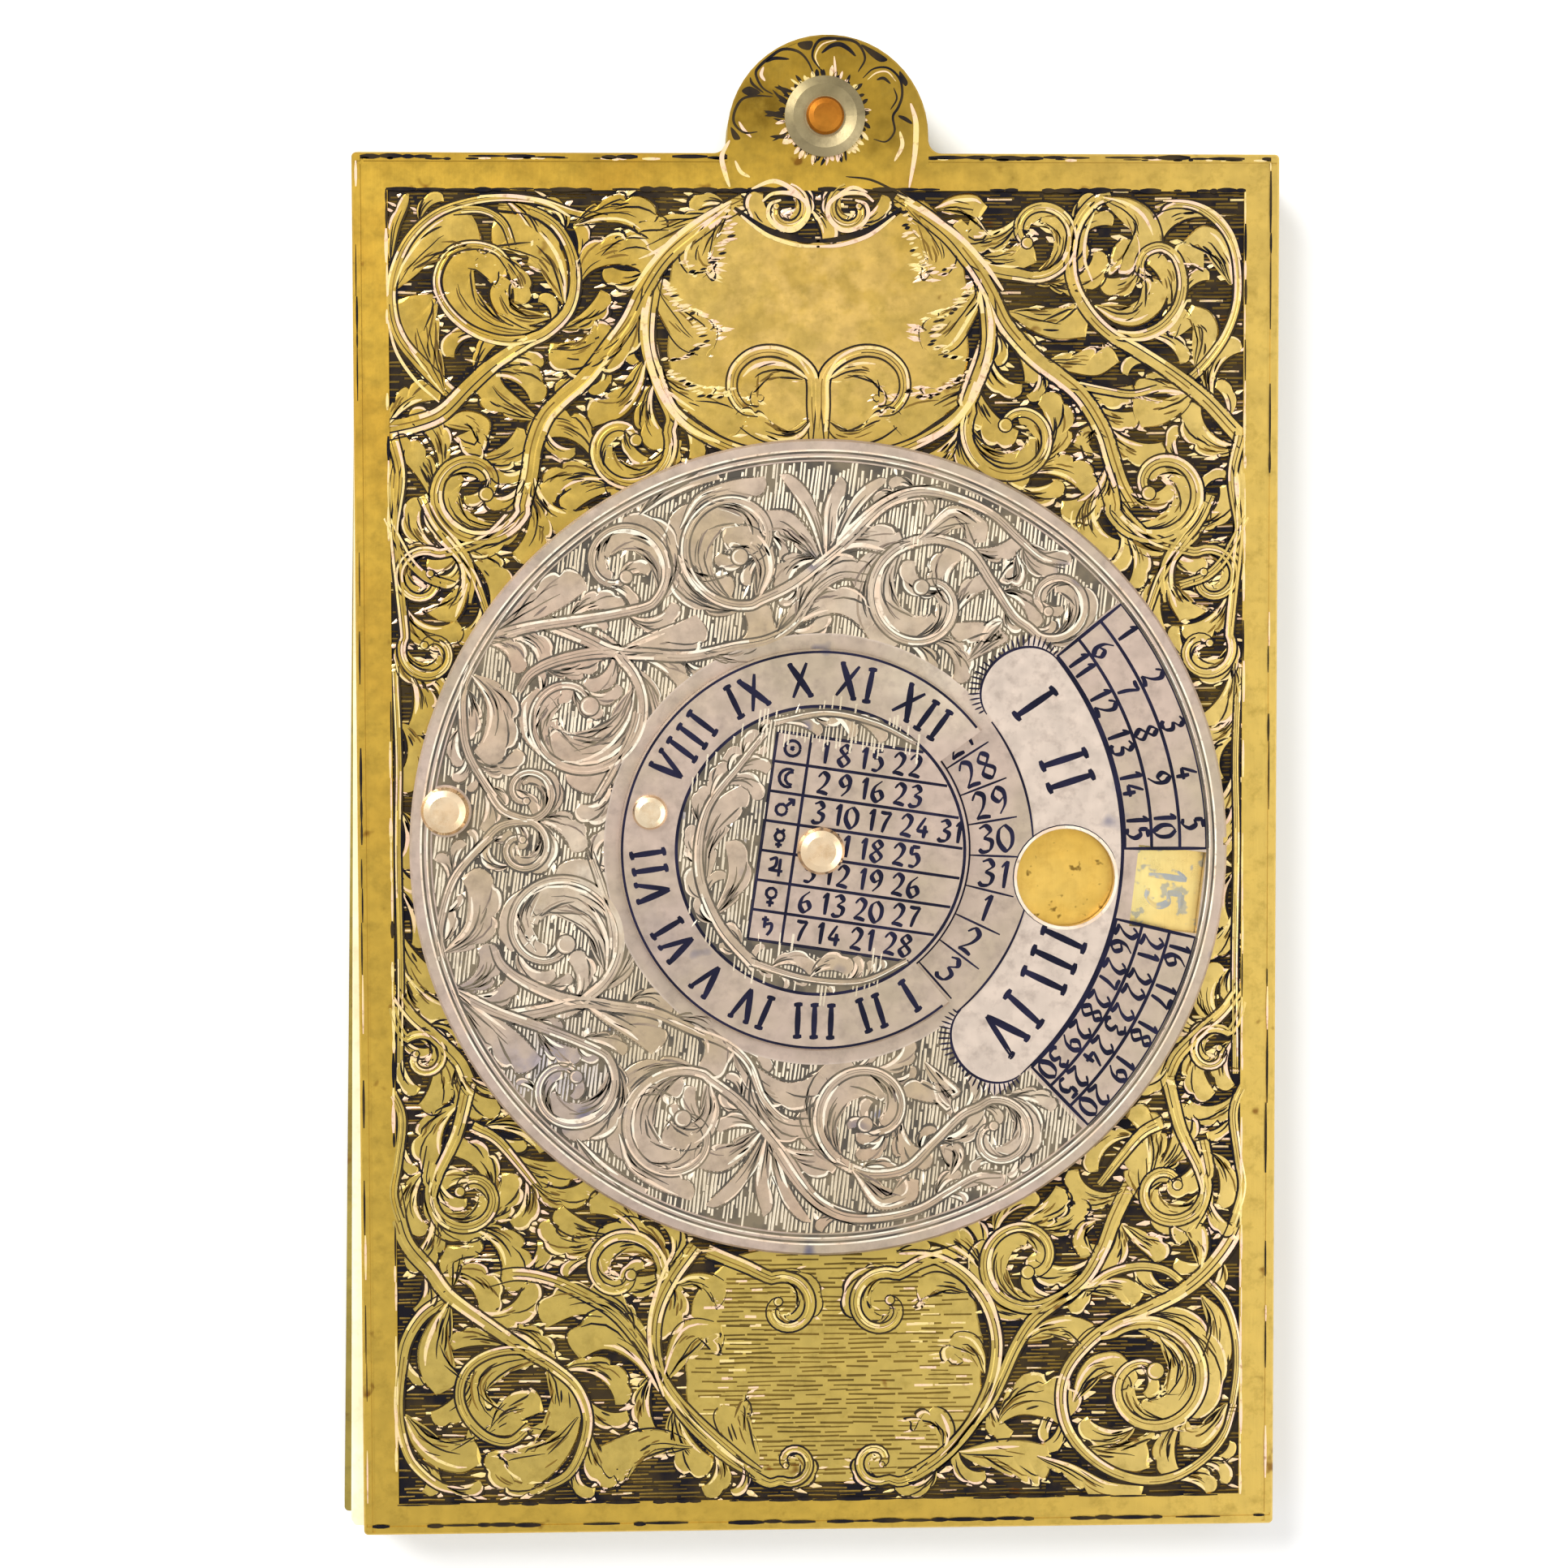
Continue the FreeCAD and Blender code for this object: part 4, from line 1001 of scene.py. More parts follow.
def old_metal(name, base, warm, dull, spot, roughness=0.36, scratch=0.4, spots=0.7, spot_size=0.55,
              metallic=1.0, foot=None, head=None, ring=None, side=None, patches=()):
    """Old sheet metal: cloudy tarnish, wear lines, spots, and other tones at its edges or in places; some of
    the patches in places are painted shade or painted sheen.
    """
    base, warm, dull, spot = (linear(*colour) for colour in (base, warm, dull, spot))
    mix = Mix(name, base, metallic, roughness)
    cloud = mix.noise(0.13, 4.0)
    fine = mix.noise(1.1, 5.0, 0.65)
    colour = mix.blended(mix.ramp(cloud, 0.42, 0.66), base, warm)
    apart = mix.node("SeparateXYZ", {0: mix.place})
    height = apart.outputs["Y"]
    if foot:
        colour = mix.blended(mix.ramp(height, -0.03, 0.035, 0.85, 0.0), colour, linear(*foot))
    if head:
        colour = mix.blended(mix.ramp(height, 0.0425, 0.047, 0.0, 0.85), colour, linear(*head))
    if side:
        colour = mix.blended(mix.ramp(apart.outputs["X"], 0.004, 0.03, 0.0, 0.9), colour, linear(*side))
    flat = mix.node("VectorMath", {0: mix.place, 1: (1, 1, 0)}, operation="MULTIPLY").outputs[0]
    broken = mix.ramp(mix.noise(0.4, 4.0, 0.6), 0.42, 0.55, 0.35, 1.0)
    # Patches in places: tones of tarnish, and painted shade or painted sheen where the tables give them
    for x, y, radius, share, tone in patches:
        away = mix.node("VectorMath", {0: flat, 1: (x * MM, y * MM, 0)}, operation="DISTANCE")
        near = mix.ramp(away.outputs["Value"], 0.3 * radius * MM, radius * MM, share, 0.0)
        colour = mix.blended(mix.math("MULTIPLY", near, broken), colour, linear(*tone))
    if ring:
        radius = mix.node("VectorMath", {0: flat}, operation="LENGTH").outputs["Value"]
        inside = mix.math("MULTIPLY", mix.ramp(radius, ring[0] * MM, (ring[0] + 0.2) * MM),
                          mix.ramp(radius, (ring[1] - 0.2) * MM, ring[1] * MM, 1.0, 0.0))
        colour = mix.blended(inside, colour, linear(*ring[2]))
    colour = mix.blended(mix.ramp(fine, 0.5, 0.74, 0.0, 0.5), colour, dull)
    spotted = mix.ramp(mix.noise(spot_size, 2.0, 0.5), spots, spots + 0.06, 0.0, 0.75)
    colour = mix.blended(spotted, colour, spot)
    mix.into("Base Color", colour)
    lines = mix.noise(0.8, 2.0, 0.6, mix.stretched(5.5, 0.5, turn=8))
    worn = mix.noise(0.9, 4.0, 0.6)
    mix.into("Roughness", mix.ramp(worn, 0.3, 0.75, roughness - 0.07, roughness + 0.14))
    mix.into("Normal", mix.bump(fine, 0.02, 0.35, mix.bump(lines, 0.012, scratch)))
    return mix.material


def cut_metal(name, base, second, stain, roughness=0.3, metallic=0.6):
    """Freshly cut metal with some wax left in it, coloured pale as a painted highlight where its cut facets
    catch the light.
    """
    base, second, stain = (linear(*colour) for colour in (base, second, stain))
    mix = Mix(name, base, metallic, roughness)
    colour = mix.blended(mix.ramp(mix.noise(0.45, 3.0), 0.40, 0.60), base, second)
    mix.into("Base Color", mix.blended(mix.ramp(mix.noise(2.6, 3.0), 0.56, 0.72, 0.0, 0.6), colour, stain))
    mix.into("Normal", mix.bump(mix.noise(3.0, 3.0), 0.02, 0.4))
    return mix.material


def wax(name, base, second, roughness=0.7):
    """Dark wax and dirt in the cuts."""
    base, second = linear(*base), linear(*second)
    mix = Mix(name, base, 0.0, roughness, 0.15)
    mix.into("Base Color", mix.blended(mix.ramp(mix.noise(0.35, 5.0), 0.42, 0.62), base, second))
    mix.into("Normal", mix.bump(mix.noise(4.0, 3.0), 0.02, 0.5))
    return mix.material


BROWN_SPOT = (120, 70, 24)
GREEN_BRASS = (208, 182, 98)
# Painted shade: soft dark patches round the raised washer of the lug, mixed into the plate's brass
PAINTED_SHADE_BROWN = (96, 72, 20)
LUG_PAINTED_SHADE = ((-3.6, 48.0, 2.4, 0.7, PAINTED_SHADE_BROWN), (4.4, 46.3, 2.2, 0.55, PAINTED_SHADE_BROWN),
               (1.0, 52.0, 2.0, 0.4, PAINTED_SHADE_BROWN))
brass_plate = old_metal("Brass of the plate", (204, 166, 66), (196, 154, 58), (158, 130, 54), BROWN_SPOT,
                        foot=(206, 172, 76), head=(158, 126, 44), side=(222, 189, 100), patches=LUG_PAINTED_SHADE)
brass_leaf = old_metal("Brass of the leaves", (208, 176, 90), (196, 160, 68), (166, 140, 66), BROWN_SPOT,
                       0.34, 0.3, 0.74, foot=GREEN_BRASS, side=(232, 202, 122),
                       patches=((0, 34, 11, 0.9, (228, 190, 108)),))
brass_back = old_metal("Brass of the back plate", (176, 158, 84), (150, 130, 66), (110, 104, 70),
                       BROWN_SPOT, 0.42)
hatch_brass = old_metal("Hatch lines of the brass", (138, 112, 52), (98, 80, 40), (60, 48, 28),
                        BROWN_SPOT, 0.45)
# Painted highlight: the bright cuts in brass are pale cream and pink, as cut facets look where they catch
# the light
cut_brass_with_highlight = cut_metal("Bright cuts in brass with painted highlight", (255, 216, 186), (252, 226, 150), (150, 110, 64))
wax_brass = wax("Wax in the brass", (14, 10, 18), (54, 42, 22))
soft_brass = wax("Shallow cuts in brass", (120, 92, 34), (88, 66, 26), 0.5)
gilt = old_metal("Gilding of the round window", (240, 200, 104), (230, 186, 86), (206, 160, 70),
                 (90, 62, 20), 0.34, 0.4, 0.64, 1.3)
worn_gilt = old_metal("Worn gilding of the age ring", (255, 236, 160), (252, 220, 138), (236, 202, 128),
                      (176, 178, 168), 0.3, 0.4, 0.58, 1.1)
worn_silver = old_metal("Worn silver of the age numbers", (196, 196, 190), (170, 172, 170), (206, 184, 120),
                        (240, 208, 120), 0.36, 0.4, 0.5, 0.9)

BLUE_SPOT = (88, 94, 128)
# Painted sheen: the cream patches stand for the shine of the polished silver, brightest left of the weekday
# dial; the rose and grey-blue patches are tones of the silver and its tarnish
CREAM_SHEEN = (244, 228, 204)
ROSE = (212, 180, 156)
SILVER_TARNISH_AND_SHEEN = ((-14.0, -3.5, 7.5, 0.7, CREAM_SHEEN), (-17.6, -15.0, 5.0, 0.6, (146, 142, 162)),
                  (-22.4, -8.0, 3.0, 0.5, (150, 138, 146)), (-18.0, 10.0, 9.0, 0.6, ROSE),
                  (2.0, -23.0, 8.0, 0.6, ROSE), (4.0, 18.0, 8.0, 0.35, CREAM_SHEEN),
                  (13.0, -16.0, 6.0, 0.4, CREAM_SHEEN))
silver_dial = old_metal("Silver of the dials", (208, 186, 170), (198, 180, 156), (160, 142, 130), BLUE_SPOT,
                        0.36, 0.3, 0.70, 0.25, ring=(NUMBER_RADIUS, CRESCENT_RADIUS, (226, 208, 192)),
                        patches=((8.0, 11.0, 5.0, 0.5, CREAM_SHEEN), (-10.0, -6.0, 5.0, 0.4, (176, 160, 156))))
silver_leaf = old_metal("Silver of the leaves", (210, 188, 166), (200, 178, 146), (156, 136, 120),
                        BLUE_SPOT, 0.36, 0.3, 0.66, 0.2, patches=SILVER_TARNISH_AND_SHEEN)
hatch_silver = old_metal("Hatch lines of the silver", (222, 208, 184), (200, 184, 156), (150, 134, 112),
                         BLUE_SPOT, 0.4, metallic=0.6, patches=SILVER_TARNISH_AND_SHEEN[:2])
# Painted highlight: the bright cuts in silver are near white, as cut facets look where they catch the light
cut_silver_with_highlight = cut_metal("Bright cuts in silver with painted highlight", (255, 246, 224), (244, 216, 188), (150, 124, 98))
wax_silver = wax("Wax in the silver", (78, 72, 64), (118, 106, 86))
soft_silver = wax("Shallow cuts in silver", (150, 132, 112), (112, 98, 88), 0.5)
ink_silver = wax("Ink of the numbers", (14, 14, 34), (30, 28, 52))

copper_head = old_metal("Copper of the rivet", (188, 124, 44), (172, 102, 32), (134, 80, 30),
                        BROWN_SPOT, 0.36)
pin_head = old_metal("Brass of the pins", (255, 232, 196), (252, 208, 156), (214, 168, 110), BROWN_SPOT,
                     0.26, 0.3, 0.8)
washer_silver = old_metal("Silver of the washer", (176, 160, 122), (150, 136, 100), (112, 98, 72),
                          BROWN_SPOT, 0.38)
bone = old_metal("Bone of the note leaves", (250, 244, 216), (244, 230, 190), (222, 202, 158),
                 (176, 140, 84), 0.45, 0.5, 0.74, 0.4, 0.0)

NODE_PAINTS = {
    "front_plate": brass_plate, "back_plate": brass_back, "lug_rivet": copper_head,
    "lug_washer": washer_silver, "centre_pin": pin_head, "pin_base_washer": pin_head,
    "dial_washer": pin_head, "moon_dial": silver_dial, "moon_dial_knob": pin_head,
    "weekday_dial": silver_dial, "weekday_dial_knob": pin_head,
}
for node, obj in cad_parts.items():
    obj.data.materials.clear()
    obj.data.materials.append(NODE_PAINTS.get(node, bone))
    for polygon in obj.data.polygons:
        polygon.material_index = 0


# Hatching: rows of broken ridges, laid by a node group

HATCH_PROFILE = ((-0.5, 0.0), (0.0, 1.0), (0.5, 0.0))
RIDGE_POINTS = 2 * len(HATCH_PROFILE)
RIDGE_FACES = ((0, 3, 4, 1), (1, 4, 5, 2))


def hatch_ridge(name, width, height):
    """One ridge of unit length along X, a few faces, that the rows repeat."""
    points = []
    for x in (-0.5, 0.5):
        for across, up in HATCH_PROFILE:
            points.append((x * MM, across * width * MM, up * height * MM))
    mesh = bpy.data.meshes.new(name)
    mesh.from_pydata(points, [], RIDGE_FACES)
    return bpy.data.objects.new(name, mesh)


def hatching_group():
    """A node group that sets broken ridges on a grid: spacing, size and the share of gaps are its inputs."""
    group = bpy.data.node_groups.new("Hatching", "GeometryNodeTree")
    face = group.interface
    face.new_socket("Geometry", in_out="OUTPUT", socket_type="NodeSocketGeometry")
    for label, kind in (("Ridge", "Object"), ("Material", "Material"), ("Width", "Float"),
                        ("Height", "Float"), ("Rows", "Int"), ("Strokes", "Int"),
                        ("Stroke length", "Float"), ("Gap share", "Float"), ("Seed", "Int")):
        face.new_socket(label, in_out="INPUT", socket_type="NodeSocket" + kind)
    given = group.nodes.new("NodeGroupInput").outputs

    def output(kind, inputs, place=0, **settings):
        return added(group, kind, inputs, **settings).outputs[place]

    def reckoned(operation, a, b):
        return output("ShaderNodeMath", {0: a, 1: b}, operation=operation)

    def drawn(low, high, offset):
        """A random value for each point, with a seed of its own."""
        seed = reckoned("ADD", given["Seed"], offset)
        return output("FunctionNodeRandomValue", {2: low, 3: high, "Seed": seed}, 1, data_type="FLOAT")

    points = output("GeometryNodeMeshGrid", {"Size X": given["Width"], "Size Y": given["Height"],
                                             "Vertices X": given["Strokes"], "Vertices Y": given["Rows"]})
    gap = reckoned("LESS_THAN", drawn(0.0, 1.0, 1), given["Gap share"])
    points = output("GeometryNodeDeleteGeometry", {"Geometry": points, "Selection": gap}, domain="POINT")
    slide = reckoned("MULTIPLY", drawn(-0.35, 0.35, 2), given["Stroke length"])
    offset = output("ShaderNodeCombineXYZ", {"X": slide, "Y": drawn(-0.03 * MM, 0.03 * MM, 3)})
    points = output("GeometryNodeSetPosition", {"Geometry": points, "Offset": offset})
    longer = reckoned("MULTIPLY", drawn(0.7, 1.5, 4), given["Stroke length"])
    size = output("ShaderNodeCombineXYZ", {"X": reckoned("DIVIDE", longer, MM), "Y": drawn(0.6, 1.15, 5),
                                           "Z": drawn(0.6, 1.0, 6)})
    tilt = output("ShaderNodeCombineXYZ", {"Z": drawn(-0.035, 0.035, 7)})
    shape = output("GeometryNodeObjectInfo", {"Object": given["Ridge"]}, "Geometry")
    rows = output("GeometryNodeInstanceOnPoints", {"Points": points, "Instance": shape, "Rotation": tilt,
                                                   "Scale": size})
    real = output("GeometryNodeRealizeInstances", {"Geometry": rows})
    painted = output("GeometryNodeSetMaterial", {"Geometry": real, "Material": given["Material"]})
    group.links.new(painted, group.nodes.new("NodeGroupOutput").inputs["Geometry"])
    return group


HATCHING = hatching_group()


def hatched(name, body, paint, centre, size, pitch, stroke_length, ridge_size, level, inside, gap,
            seed, turn=0):
    """Hatch lines over a turned rectangle, kept where their middles are inside, at one level."""
    shape = hatch_ridge(name + "_ridge", *ridge_size)
    carrier = bpy.data.objects.new(name + "_rows", bpy.data.meshes.new(name + "_rows"))
    bpy.context.scene.collection.objects.link(carrier)
    rows = carrier.modifiers.new("Hatching", "NODES")
    rows.node_group = HATCHING
    values = {"Ridge": shape, "Material": paint, "Width": size[0] * MM, "Height": size[1] * MM,
              "Rows": int(size[1] / pitch), "Strokes": int(size[0] / stroke_length),
              "Stroke length": stroke_length * MM, "Gap share": gap, "Seed": seed}
    for item in HATCHING.interface.items_tree:
        if item.in_out == "INPUT":
            rows[item.identifier] = values[item.name]
    carrier.update_tag()
    bpy.context.view_layer.update()
    evaluated = carrier.evaluated_get(bpy.context.evaluated_depsgraph_get())
    grown_mesh = bpy.data.meshes.new_from_object(evaluated)
    points = np.empty(len(grown_mesh.vertices) * 3)
    grown_mesh.vertices.foreach_get("co", points)
    points = points.reshape(-1, RIDGE_POINTS, 3) / MM
    c, s = math.cos(math.radians(turn)), math.sin(math.radians(turn))
    points[..., :2] = points[..., :2] @ np.array([[c, s], [-s, c]]) + np.asarray(centre)
    points[..., 2] += level
    middle = points[..., :2].mean(axis=1)
    points = points[inside(middle[:, 0], middle[:, 1])]
    start = RIDGE_POINTS * np.arange(len(points))[:, None, None]
    faces = (start + np.array(RIDGE_FACES)).reshape(-1, 4)
    bpy.data.objects.remove(carrier)
    bpy.data.objects.remove(shape)
    bpy.data.meshes.remove(grown_mesh)
    shown(name, points.reshape(-1, 3), faces.tolist(), (paint,), body)


# Numbers cut with a broad point. Each is a set of lines in a box one high, with its width.
FIGURES = {
    "0": (0.62, (((0.31, 1.0), (0.08, 0.78), (0.05, 0.35), (0.31, 0.0), (0.55, 0.25), (0.56, 0.7),
                  (0.31, 1.0)),)),
    "1": (0.40, (((0.08, 0.78), (0.26, 1.0), (0.26, 0.5), (0.26, 0.0)),)),
    "2": (0.62, (((0.06, 0.76), (0.26, 1.0), (0.52, 0.84), (0.42, 0.45), (0.06, 0.04)),
                 ((0.06, 0.04), (0.3, 0.06), (0.6, 0.0)))),
    "3": (0.60, (((0.08, 0.9), (0.34, 1.0), (0.5, 0.78), (0.24, 0.54)),
                 ((0.24, 0.54), (0.54, 0.4), (0.46, 0.08), (0.18, 0.0), (0.04, 0.12)))),
    "4": (0.64, (((0.42, 1.0), (0.06, 0.32)), ((0.06, 0.32), (0.34, 0.32), (0.62, 0.34)),
                 ((0.44, 0.62), (0.44, 0.3), (0.42, 0.0)))),
    "5": (0.58, (((0.52, 0.98), (0.3, 0.97), (0.14, 0.98)), ((0.14, 0.98), (0.12, 0.58)),
                 ((0.12, 0.58), (0.38, 0.62), (0.52, 0.34), (0.34, 0.04), (0.06, 0.04)))),
    "6": (0.60, (((0.46, 1.0), (0.14, 0.66), (0.08, 0.24), (0.3, 0.0), (0.54, 0.22), (0.4, 0.5),
                  (0.12, 0.4)),)),
    "7": (0.58, (((0.05, 0.96), (0.3, 0.94), (0.56, 0.98)), ((0.56, 0.98), (0.34, 0.5), (0.22, 0.0)))),
    "8": (0.60, (((0.3, 0.54), (0.1, 0.78), (0.3, 1.0), (0.5, 0.8), (0.3, 0.54), (0.06, 0.26), (0.3, 0.0),
                  (0.54, 0.26), (0.3, 0.54)),)),
    "9": (0.60, (((0.5, 0.62), (0.26, 0.48), (0.08, 0.72), (0.28, 1.0), (0.52, 0.8), (0.48, 0.36),
                  (0.2, 0.0)),)),
    "I": (0.34, (((0.17, 1.0), (0.17, 0.5), (0.17, 0.0)), ((0.04, 0.97), (0.3, 1.0)),
                 ((0.04, 0.0), (0.3, 0.03)))),
    "V": (0.66, (((0.06, 1.0), (0.2, 0.5), (0.33, 0.0)), ((0.33, 0.0), (0.46, 0.5), (0.6, 1.0)),
                 ((0.0, 0.97), (0.18, 1.0)), ((0.5, 0.97), (0.68, 1.0)))),
    "X": (0.66, (((0.06, 1.0), (0.34, 0.5), (0.6, 0.0)), ((0.58, 1.0), (0.32, 0.5), (0.06, 0.0)),
                 ((0.0, 0.97), (0.16, 1.0)), ((0.5, 0.0), (0.68, 0.03)))),
}
NIB_ANGLE = math.radians(40)
LETTER_GAP = 0.16

# The height of each kind of figures and the width of its nib
DAY_FIGURES = (1.7, 0.3)
BAND_FIGURES = (1.4, 0.31)
CRESCENT_FIGURES = (3.0, 0.45)
RING_FIGURES = (2.15, 0.38)
DATE_FIGURES = (1.35, 0.29)
AGE_FIGURES = (2.4, 0.42)
SIGN_HEIGHT = 1.4


def figure_width(text):
    return sum(FIGURES[c][0] for c in text) + LETTER_GAP * (len(text) - 1)


def written(piece, text, place, turn, height, nib, level, paint=DARK):
    """Figures centred on a place, with their feet turned by the angle in degrees."""
    right = polar(1.0, turn)
    up = polar(1.0, turn + 90)
    x = -figure_width(text) / 2
    for character in text:
        width, lines = FIGURES[character]
        for line in lines:
            shape = smooth(line, 7) if len(line) > 2 else resampled(np.asarray(line, float), 5)
            local = (shape + (x, -0.5)) * height
            path = np.asarray(place) + local[:, :1] * right + local[:, 1:] * up
            tangent, _ = directions(local)
            pen = np.abs(np.sin(np.arctan2(tangent[:, 1], tangent[:, 0]) - NIB_ANGLE))
            stroke(piece, path, nib * (0.42 + 0.75 * pen), level, paint, 0.6)
        x += width + LETTER_GAP


def written_round(piece, text, radius, bearing, height, nib, level, paint=DARK):
    """Figures on a ring, with their heads outwards."""
    written(piece, text, polar(radius, bearing), bearing - 90, height, nib, level, paint)


def ring_line(piece, radius, start, end, width, level, paint=DARK, ends=0.9):
    stroke(piece, ring_arc(radius, start, end), width, level, paint, ends)


def straight(piece, a, b, width, level, paint=DARK, ends=0.6):
    stroke(piece, resampled(np.array([a, b], float), 6), width, level, paint, ends)


def radial(piece, bearing, inner, outer, width, level, paint=DARK):
    straight(piece, polar(inner, bearing), polar(outer, bearing), width, level, paint)


# The engraved field of the plate

rng = random.Random(7)
LEAF_TOP = PLATE_TOP - 0.005
SHIELD_TOP = LEAF_TOP - 0.02
brass_paints = (brass_leaf, wax_brass, cut_brass_with_highlight, soft_brass)
field = Ground(FIELD_LOW, FIELD_HIGH, in_field)
plate_foliage = Piece()
plate_cuts = Piece()
foliage(plate_foliage, plate_cuts, field, *drawn_field(), FIELD_FLOOR, LEAF_TOP, rng, (4.2, 3.2, 2.3),
        flecks=0.7, stem_bright=0.6, holes=DARK_PLACES, taken_limit=0.15)
for mirror in (None, 90):
    for leaf in leaves_of(SHARED_LEAVES[:3], mirror):
        for _ in range(3):
            leaf.flecks(plate_cuts, LEAF_TOP, rng, 1.0, (1.0, 0.0))
for points, width, paint, twice in FIELD_LINES:
    lift = 0.008 if paint == BRIGHT else 0.004
    for path in (smooth(points), mirrored(smooth(points)))[:1 + twice]:
        ribbon(plate_cuts, path, width, LEAF_TOP + lift, paint, 0.4)
for edge in COMBED_EDGES:
    for path in (smooth(edge), mirrored(smooth(edge))):
        for spot in resampled(path, int(length_of(path) / 0.24)):
            paint = rng.choice((BRIGHT, BRIGHT, DARK))
            reach = rng.uniform(0.3, 1.0 if paint == BRIGHT else 0.6)
            middle = spot + (rng.uniform(-0.3, 0.2) * np.sign(spot[0]), rng.uniform(-0.1, 0.1))
            ends = np.array([middle - (reach / 2, 0.06), middle + (reach / 2, 0.06)])
            ribbon(plate_cuts, resampled(ends, 4), rng.uniform(0.14, 0.26), LEAF_TOP + 0.008, paint, 0.2)
print("field filled", round(field.filled(), 3), "faces", len(plate_foliage.faces), len(plate_cuts.faces))


def shield_edge(shield):
    """The wavy outline of a shield, found along lines from its middle."""
    reach = np.arange(0.5, 16, 0.05)
    edge = []
    for bearing in np.arange(0, 360, 2.0):
        c, s = polar(1.0, bearing)
        x, y = shield[0] + c * reach, shield[1] + s * reach
        free = in_shield(x, y, shield) & (np.hypot(x, y) > LAND_RADIUS - 0.3)
        far = reach[free].max() if free[0] else reach[0]
        wave = 0.12 + 0.08 * math.sin(math.radians(bearing) * 17)
        edge.append((shield[0] + c * (far + wave), shield[1] + s * (far + wave)))
    edge = np.array(edge)
    edge[:, 1] = np.clip(edge[:, 1], LOWER_SHIELD_FOOT, FIELD_HIGH[1] - 0.2)
    return edge


for shield in (UPPER_SHIELD, LOWER_SHIELD):
    plate_foliage.fan(shield_edge(shield), SHIELD_TOP, METAL, FIELD_FLOOR)
plate_foliage.made("plate_foliage", "front", brass_paints, "engraved_brass")
plate_cuts.made("plate_cuts", "front", brass_paints, "engraved_brass")


def in_lower_shield(x, y):
    across, along, wide, high = LOWER_SHIELD
    return in_shield(x, y, (across, along, wide - 0.8, high - 0.5)) & (np.hypot(x, y) > LAND_RADIUS + 0.4)


def beside_lower_shield(x, y):
    return in_lower_shield(x, y) & (np.abs(x - LOWER_SHIELD[0]) > 4.5)


# The ground of the field is a dark sheet with the round land left out
corners = []
for x in (FIELD_LOW[0], FIELD_HIGH[0]):
    for y in (FIELD_LOW[1], FIELD_HIGH[1]):
        corners.append(math.atan2(y, x) % (2 * math.pi))
angle = np.unique(np.concatenate([np.linspace(0, 2 * math.pi, 181), corners]))
unit = units(angle)
safe = np.where(np.abs(unit) < 1e-9, 1e-9, unit)
edge_reach = np.where(unit > 0, FIELD_HIGH, FIELD_LOW) / safe
reach = np.abs(edge_reach).min(axis=1)
plate_ground = Piece()
flat_ring(plate_ground, unit, LAND_RADIUS, reach[:, None], FIELD_GROUND)
plate_ground.made("plate_ground", "front", (wax_brass,), "engraved_brass")
FIELD_MIDDLE = (0.0, -0.2)
FIELD_SIZE = (55.6, 85.6)
hatched("plate_hatch", "front", hatch_brass, FIELD_MIDDLE, FIELD_SIZE, 0.25, 1.3,
        (0.13, 0.05), FIELD_GROUND, in_field, 0.2, 3)
hatched("plate_hatch_bright", "front", cut_brass_with_highlight, FIELD_MIDDLE, FIELD_SIZE, 0.5, 1.1,
        (0.16, 0.06), FIELD_GROUND, in_field, 0.82, 5)
hatched("shield_hatch", "front", hatch_brass, LOWER_SHIELD[:2], (20, 17), 0.3, 1.5,
        (0.14, 0.006), SHIELD_TOP + 0.002, in_lower_shield, 0.2, 9)
hatched("shield_hatch_bright", "front", cut_brass_with_highlight, LOWER_SHIELD[:2], (20, 17), 0.55, 0.9,
        (0.16, 0.007), SHIELD_TOP + 0.002, beside_lower_shield, 0.72, 10)


# The moon dial

silver_paints = (silver_leaf, wax_silver, cut_silver_with_highlight, soft_silver)
figure_paints = (silver_dial, ink_silver, cut_silver_with_highlight)
SILVER_HATCH_TURN = 83
dial_ground = Ground((-26, -26), (26, 26), in_dial_foliage)
dial_foliage = Piece()
dial_cuts = Piece()
dial_stems = stems_of(DIAL_SCROLLS, DIAL_STEMS) + stems_of(DIAL_SCROLLS, DIAL_STEMS, DIAL_AXIS)
dial_leaves = leaves_of(DIAL_LEAVES) + leaves_of(DIAL_LEAVES, DIAL_AXIS) + curls_of(DIAL_SCROLLS) + (
    curls_of(DIAL_SCROLLS, DIAL_AXIS))
foliage(dial_foliage, dial_cuts, dial_ground, dial_stems, dial_leaves, DIAL_FLOOR, DIAL_TOP - 0.004, rng,
        (3.2, 2.3, 1.6), flecks=0.12, bright=0.85, dark=0.9, drift=(0.1, 1.0), lobe_length=0.85,
        holes=BARE_PLACES + mirrored_places(BARE_PLACES, DIAL_AXIS), taken_limit=0.14)
print("dial filled", round(dial_ground.filled(), 3), "faces", len(dial_foliage.faces), len(dial_cuts.faces))
for radius, width, paint in ((25.32, 0.16, DARK), (25.46, 0.1, BRIGHT), (25.72, 0.14, DARK),
                             (25.86, 0.12, BRIGHT)):
    ring_line(dial_foliage, radius, 0, 360, width, DIAL_TOP, paint, 1.0)
dial_foliage.made("moon_dial_foliage", "moon_dial", silver_paints, "dial_silver")
dial_cuts.made("moon_dial_cuts", "moon_dial", silver_paints, "dial_silver")
hatched("moon_dial_hatch", "moon_dial", hatch_silver, (0, 0), (51, 51), 0.25, 1.7,
        (0.15, 0.03), DIAL_GROUND, in_dial_foliage, 0.0, 11, SILVER_HATCH_TURN)

dial_sheet = Piece()
for inner, outer, start, end in ((NUMBER_RADIUS + 0.17, CRESCENT_RADIUS, 45.0, 305.0),
                                 (CRESCENT_RADIUS, BAND_RADIUS - 0.17, 39.5, 313.0)):
    bearings = np.radians(np.linspace(start, end, 140))
    flat_ring(dial_sheet, units(bearings), inner, outer, DIAL_GROUND)
dial_sheet.made("moon_dial_ground", "moon_dial", (wax_silver,), "dial_silver")

